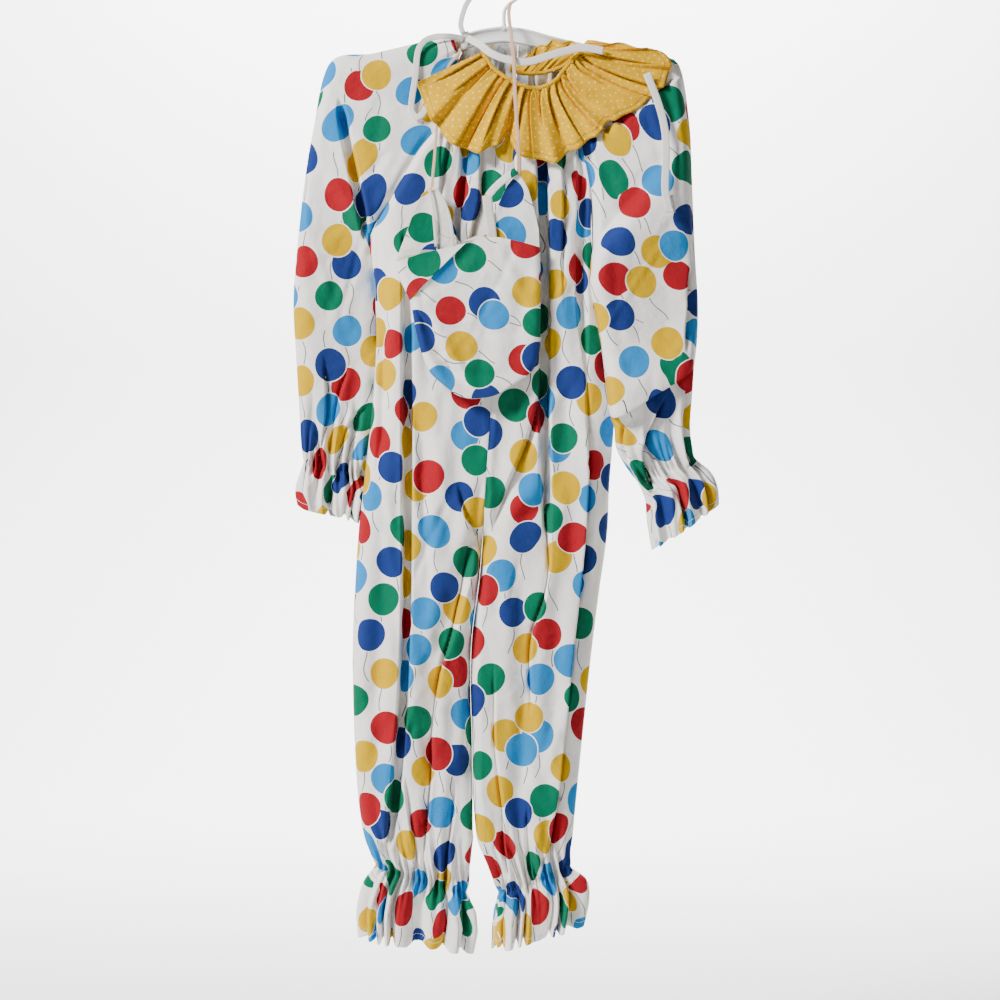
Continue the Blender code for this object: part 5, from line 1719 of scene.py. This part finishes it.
def band(name, route, width, thickness, material, sideways, slot, node_name):
    """A flat woven band with rounded edges. sideways is the way its width lies, if given."""
    length = run_length(smooth_path(route, 300))[-1]
    path = smooth_path(route, max(12, int(length / BAND_STEP)))
    step = unit(np.gradient(path, axis=0))
    side = np.array(sideways, float) + 0 * path if sideways else np.cross(step, (0, -1, 0))
    side = unit(side - step * (side * step).sum(-1, keepdims=True))
    up = np.cross(step, side)
    ring = np.array(HALF_PROFILE + [(-a, -b) for a, b in HALF_PROFILE[1:-1]])
    wide, thick = ring[None, :, :1] * width, ring[None, :, 1:] * thickness
    piece = closed_tube(name, path[:, None] + side[:, None] * wide + up[:, None] * thick, material)
    # its UV runs across it in place of round it
    layer = piece.data.uv_layers["cloth"]
    uv = np.zeros(len(layer.data) * 2)
    layer.data.foreach_get("uv", uv)
    uv = uv.reshape(-1, 2)
    number = np.round(uv[:, 0] / TUBE_UV * len(ring)).astype(int) % len(ring)
    uv[:, 0] = ring[number, 0] * width * MM
    layer.data.foreach_set("uv", uv.ravel())
    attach(piece, "root")
    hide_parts(node_name)
    return piece, path, length


SIDEWAYS = (1, 0, 0)
for k, route in enumerate(HAT_BINDINGS, 1):
    # below the mouth's front edge the binding goes in behind it
    line = [(x, HAT_Y - 0.6 + 2.2 * (z < -335), z) for x, z in route]
    cloth = (TWILL, (1, 0, 0.2), "cotton_print", "hat_back")
    piece, path, length = band(f"white_binding_{k}", line, *BINDING_SIZE, *cloth)
    print(piece.name, "length", round(float(length)), "mm")

# material, which way the width lies, slot
BRAIDED, TAPE = (BRAID, SIDEWAYS, "elastic"), (TWILL, None, "tape")
TURNED_TAPE = (TWILL, SIDEWAYS, "tape")
# solid, name, route, width and thickness in mm, what it is, and what its far end holds
BANDS = [
    ("hat_cord_left", "peach_elastic_left", HAT_CORD_LEFT, 3.6, 1.0, BRAIDED, "object"),
    ("hat_cord_right", "peach_elastic_right", HAT_CORD_RIGHT, 4.5, 1.0, BRAIDED, "object"),
    ("tie_top", "tape_up_to_hook", TIE_TOP, 6.6, 0.9, TAPE, "bare"),
    ("tie_front", "tape_across_neck", TIE_FRONT, 9.3, 0.9, TAPE, "bare"),
    ("tie_left", "tape_over_left_shoulder", TIE_LEFT, 7.6, 0.9, TAPE, "bare"),
    ("tie_right", "tape_over_right_shoulder", TIE_RIGHT, 9.3, 0.9, TURNED_TAPE, "bare"),
]
for node_name, name, route, width, thickness, kind, far in BANDS:
    piece, path, length = band(name, route, width, thickness, *kind, node_name)
    [tuple(p * MM) for p in path]
    print(piece.name, "length", round(float(length)), "mm")
elastic = (WHITE_ELASTIC, SIDEWAYS, "tape", "hat_elastic")
band("hat_puckered_elastic", HAT_ELASTIC, *ELASTIC_SIZE, *elastic)
band("hat_turned_hem", HAT_TURNED_HEM, *TURNED_HEM_SIZE, PRINT, None, "cotton_print", "hat_back")

# %% [markdown]
# ## The knot on the bar
# The costume hangs from one turn of its tape round the hanger's bar. The turn is a closed loop
# of the same tape, so it is a rounded oblong, swept by the tape's width. It slants a little, as
# a tied tape does.

# %% The knot on the bar
HANGER = table(
    "x top height thick",
    (0, -70, 20, 8),
    (30, -74, 20, 8),
    (60, -82.9, 19, 8),
    (120, -96.9, 17, 8),
    (180, -110.9, 15, 8),
    (206, -118.3, 11, 6),
    (213, -122.8, 5, 3),
)
KNOT = (-53.9, -44.4)  # the turn's two edges along the bar
KNOT_HALF_DEPTH, KNOT_CLEARANCE, KNOT_SLANT = 5.6, 1.5, 0.3
KNOT_LENGTH = 9  # mm of tape for one radian round the loop
TAPE_WIDTH = 9.5
# the tape's section: its share of the width, and how far out it lies
KNOT_PROFILE = np.array(
    [(-0.5, 0.0), (-0.46, 0.45), (0.0, 0.6), (0.46, 0.45)]
    + [(0.5, 0.0), (0.46, -0.35), (0.0, -0.35), (-0.46, -0.35)]
)


def squared(t, power):
    """A round's sine or cosine, drawn out towards a square's."""
    return np.sign(t) * np.abs(t) ** power


def knot():
    """A loop of tape round the bar: a rounded oblong, swept by the tape's width."""
    middle, width = sum(KNOT) / 2, KNOT[1] - KNOT[0]
    top = np.interp(-middle, HANGER["x"], HANGER["top"])
    height = np.interp(-middle, HANGER["x"], HANGER["height"])
    a = np.linspace(0, 2 * np.pi, 72, endpoint=False)
    y = squared(np.cos(a), 0.45) * KNOT_HALF_DEPTH
    z = top - height / 2 + squared(np.sin(a), 0.45) * (height / 2 + KNOT_CLEARANCE)
    rows = []
    for share, out in KNOT_PROFILE:
        x = middle + share * width + 0 * a
        slope = (x - middle) * KNOT_SLANT
        rows.append(np.stack([x, y + np.cos(a) * out, z + slope + np.sin(a) * out], axis=-1))
    grid = np.stack(rows, axis=1)
    n, sides = grid.shape[:2]
    i, k = np.arange(n)[:, None] * sides, np.arange(sides)[None]
    after, beside_k = (i + sides) % (n * sides), (k + 1) % sides
    faces = np.stack([i + k, i + beside_k, after + beside_k, after + k], axis=-1).reshape(-1, 4)
    across_tape = np.broadcast_to(KNOT_PROFILE[None, :, 0] * TAPE_WIDTH, (n, sides))
    along = np.broadcast_to(a[:, None] * KNOT_LENGTH, (n, sides))
    uv = np.stack([across_tape, along], axis=-1).reshape(-1, 2) * MM
    return recalculated(mesh_piece("tape_turn_on_bar", grid.reshape(-1, 3), faces, uv, [TWILL]))


piece = knot()
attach(piece, "root")
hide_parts("tie_knot")
print(piece.name, "on the bar")

# %% [markdown]
# ## The hanger
# The hanger is one moulding: a shallow channel bar with a rib along its top and its foot, and a
# plain round hook.

# %% The hanger
HALF_SPAN, BAR_SECTIONS = 213, 110  # mm, and sections from the middle to a tip
RIB, WEB = 0.17, 0.42  # a rib's share of the height, the web's share of the thickness
# one side's section from the foot up, as shares of half the thickness and of the height
BAR_SIDE = [
    (0.35, 0.0), (0.75, 0.01), (1.0, 0.06), (1.0, RIB - 0.04), (0.9, RIB), (WEB, RIB + 0.05),
    (WEB, 0.5),
    (WEB, 1 - RIB - 0.05), (0.9, 1 - RIB), (1.0, 1 - RIB + 0.04), (1.0, 0.94), (0.75, 0.99),
    (0.35, 1.0),
]
HOOK_RADIUS, HOOK_WIRE = 20, 2.4
STEM = [(0, 0, -76), (0, 0, -56), (1.5, 0, -49), (6, 0, -43.5), (11, 0, -39.4)]


def hanger_bar():
    """Sections with two ribs and a web between them, mirrored from the middle to both tips."""
    half = np.linspace(0, HALF_SPAN, BAR_SECTIONS)[1:]
    x = np.concatenate([-np.linspace(HALF_SPAN, 0, BAR_SECTIONS), half])
    top, height, thick = (
        np.interp(np.abs(x), HANGER["x"], HANGER[name]) for name in ("top", "height", "thick")
    )
    # round the straight runs of the table off
    top = np.convolve(np.pad(top, 4, mode="edge"), np.ones(9) / 9, mode="valid")
    ring = np.array([(-a, b) for a, b in BAR_SIDE] + BAR_SIDE[::-1])
    wide = np.broadcast_to(x[:, None], (len(x), len(ring)))
    y = ring[None, :, 0] * thick[:, None] / 2
    z = (top - height)[:, None] + ring[None, :, 1] * height[:, None]
    return np.stack([wide, y, z], axis=-1)


def hook_path():
    """A straight stem, a short sweep and three quarters of a ring."""
    reach = HOOK_RADIUS + HOOK_WIRE
    turn = np.radians(np.linspace(-45, 200, 60))
    bend = np.stack([reach * np.cos(turn), 0 * turn, reach * np.sin(turn) - HOOK_RADIUS], axis=-1)
    return np.concatenate([smooth_path(STEM + [tuple(bend[0])], 24)[:-1], bend])


bar = closed_tube("hanger_bar", hanger_bar(), PLASTIC)
path = hook_path()
radius = np.full(len(path), HOOK_WIRE - 0.05)
radius[:6] += np.linspace(1.6, 0, 6)
radius[-3:] *= (0.95, 0.8, 0.45)
hook = closed_tube("hanger_hook", tube_grid(path, radius, 20), PLASTIC)
for piece in (bar, hook):
    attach(piece, "root")
    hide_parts("hanger")
print("hanger", len(bar.data.vertices), "points")

# %% [markdown]
# ## The sewing
# Each hem is turned up and held by one row of machine stitches, two on the collar. A row is a
# line of points on the cloth, and Geometry Nodes set one stitch on it at each step: the line
# becomes a curve, the curve becomes evenly spaced points, and a small bead of thread, as long as
# the stitch, is laid along the curve at each of them.

# %% The sewing
STITCH_PITCH, STITCH_LENGTH, THREAD_RADIUS = 3.2, 2.5, 0.42
BEAD_SEGMENTS, BEAD_RINGS = 6, 4
STITCH_LIFT, COLLAR_LIFT = 0.35, 0.3  # how far a row lies off the cloth
HEM_UP, COLLAR_ROWS = 8, (1.8, 8.5)  # how far each row lies from the hem's edge


def stitch_tree():
    sockets = (("INPUT", "Geometry", "Geometry"), ("INPUT", "Float", "Pitch Stitch Thread"))
    sockets += (("INPUT", "Material", "Material"), ("OUTPUT", "Geometry", "Geometry"))
    tree, add = new_group("row of stitches", "GeometryNodeTree", *sockets)
    sizes = {"Pitch": STITCH_PITCH, "Stitch": STITCH_LENGTH, "Thread": THREAD_RADIUS}
    for item in tree.interface.items_tree:
        if item.name in sizes:
            item.default_value = sizes[item.name] * MM
    start = add("NodeGroupInput").outputs
    curve = add("GeometryNodeMeshToCurve", {"Mesh": start["Geometry"]})
    spots = {"Curve": curve, "Length": start["Pitch"]}
    spots = add("GeometryNodeCurveToPoints", spots, mode="LENGTH").outputs
    bead = {"Segments": BEAD_SEGMENTS, "Rings": BEAD_RINGS, "Radius": 0.5}
    bead = add("GeometryNodeMeshUVSphere", bead).outputs["Mesh"]
    wide = add("Math MULTIPLY", [start["Thread"], 2.0])
    size = add("CombineXYZ", [wide, wide, start["Stitch"]])
    along = add("FunctionNodeAlignRotationToVector", {"Vector": spots["Tangent"]}, axis="Z")
    laid = {"Points": spots["Points"], "Instance": bead, "Rotation": along, "Scale": size}
    real = add("GeometryNodeRealizeInstances", [add("GeometryNodeInstanceOnPoints", laid)])
    done = {"Geometry": real, "Material": start["Material"]}
    add("NodeGroupOutput", [add("GeometryNodeSetMaterial", done)])
    return tree


STITCHES = stitch_tree()


def surface_normals(grid):
    across, down = np.gradient(grid, axis=1), np.gradient(grid, axis=0)
    return unit(np.cross(across, down))


def stitch_rows(name, lines, material, node_name):
    """One object with stitches along each line of points, in mm."""
    mesh = bpy.data.meshes.new(name)
    points, edges = [], []
    for line in lines:
        first = len(points)
        points += [tuple(p * MM) for p in line]
        edges += [(first + k, first + k + 1) for k in range(len(line) - 1)]
    mesh.from_pydata(points, edges, [])
    row = placed(name, mesh)
    nodes = row.modifiers.new("stitches", "NODES")
    nodes.node_group = STITCHES
    items = STITCHES.interface.items_tree
    names = {item.name: item.identifier for item in items if item.in_out == "INPUT"}
    nodes[names["Material"]] = material
    nodes[names["Pitch"]] = STITCH_PITCH * MM
    row.update_tag()
    graph = bpy.context.evaluated_depsgraph_get()
    made = bpy.data.meshes.new_from_object(row.evaluated_get(graph), depsgraph=graph)
    row.modifiers.clear()
    row.data = made
    made.name = name
    made.shade_smooth()
    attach(row, "root")
    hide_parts(node_name)
    print(name, "stitches:", len(made.polygons) // (BEAD_SEGMENTS * BEAD_RINGS))


def hem_line(grid, up, outward, lift=STITCH_LIFT):
    """The line on the cloth that lies up mm above its last row, lifted off its surface."""
    normals = surface_normals(grid)
    if (normals @ np.array(outward, float)).sum() < 0:
        normals = -normals
    drop = run_length(grid[::-1].transpose(1, 0, 2))
    rows = len(grid)
    line = []
    for k in range(1, grid.shape[1] - 1):
        share = np.interp(up, drop[k], np.arange(rows))
        i = min(int(share), rows - 2)
        t = share - i
        place = grid[rows - 1 - i, k] * (1 - t) + grid[rows - 2 - i, k] * t
        line.append(place + normals[rows - 1 - i, k] * lift)
    return np.array(line)


for (face, side), grid in PANELS.items():
    name = f"{face}_{SIDE_NAMES[side]}"
    line = hem_line(grid, HEM_UP, (0, FACING[face], 0))
    stitch_rows("ankle_hem_stitches_" + name, [line], WHITE_THREAD, name)
for side, grid in SLEEVES.items():
    name = "sleeve_" + SIDE_NAMES[side]
    half = grid.shape[1] // 2
    halves = ((grid[:, : half + 1], -1), (grid[:, half:], 1))
    lines = [hem_line(part, HEM_UP, (0, facing, 0)) for part, facing in halves]
    stitch_rows("wrist_hem_stitches_" + name, lines, WHITE_THREAD, name)
lines = [hem_line(COLLAR_GRID, up, (0, -1, 0), COLLAR_LIFT) for up in COLLAR_ROWS]
stitch_rows("collar_hem_stitches", lines, YELLOW_THREAD, "collar_ruff")

# %% [markdown]
# ## Check and finish
# The last lines count the triangles of all the shown pieces.

# %% Check and finish
total = 0
graph = bpy.context.evaluated_depsgraph_get()
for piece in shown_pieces():
    mesh = piece.evaluated_get(graph).to_mesh()
    mesh.calc_loop_triangles()
    total += len(mesh.loop_triangles)
print("triangles in all:", total)
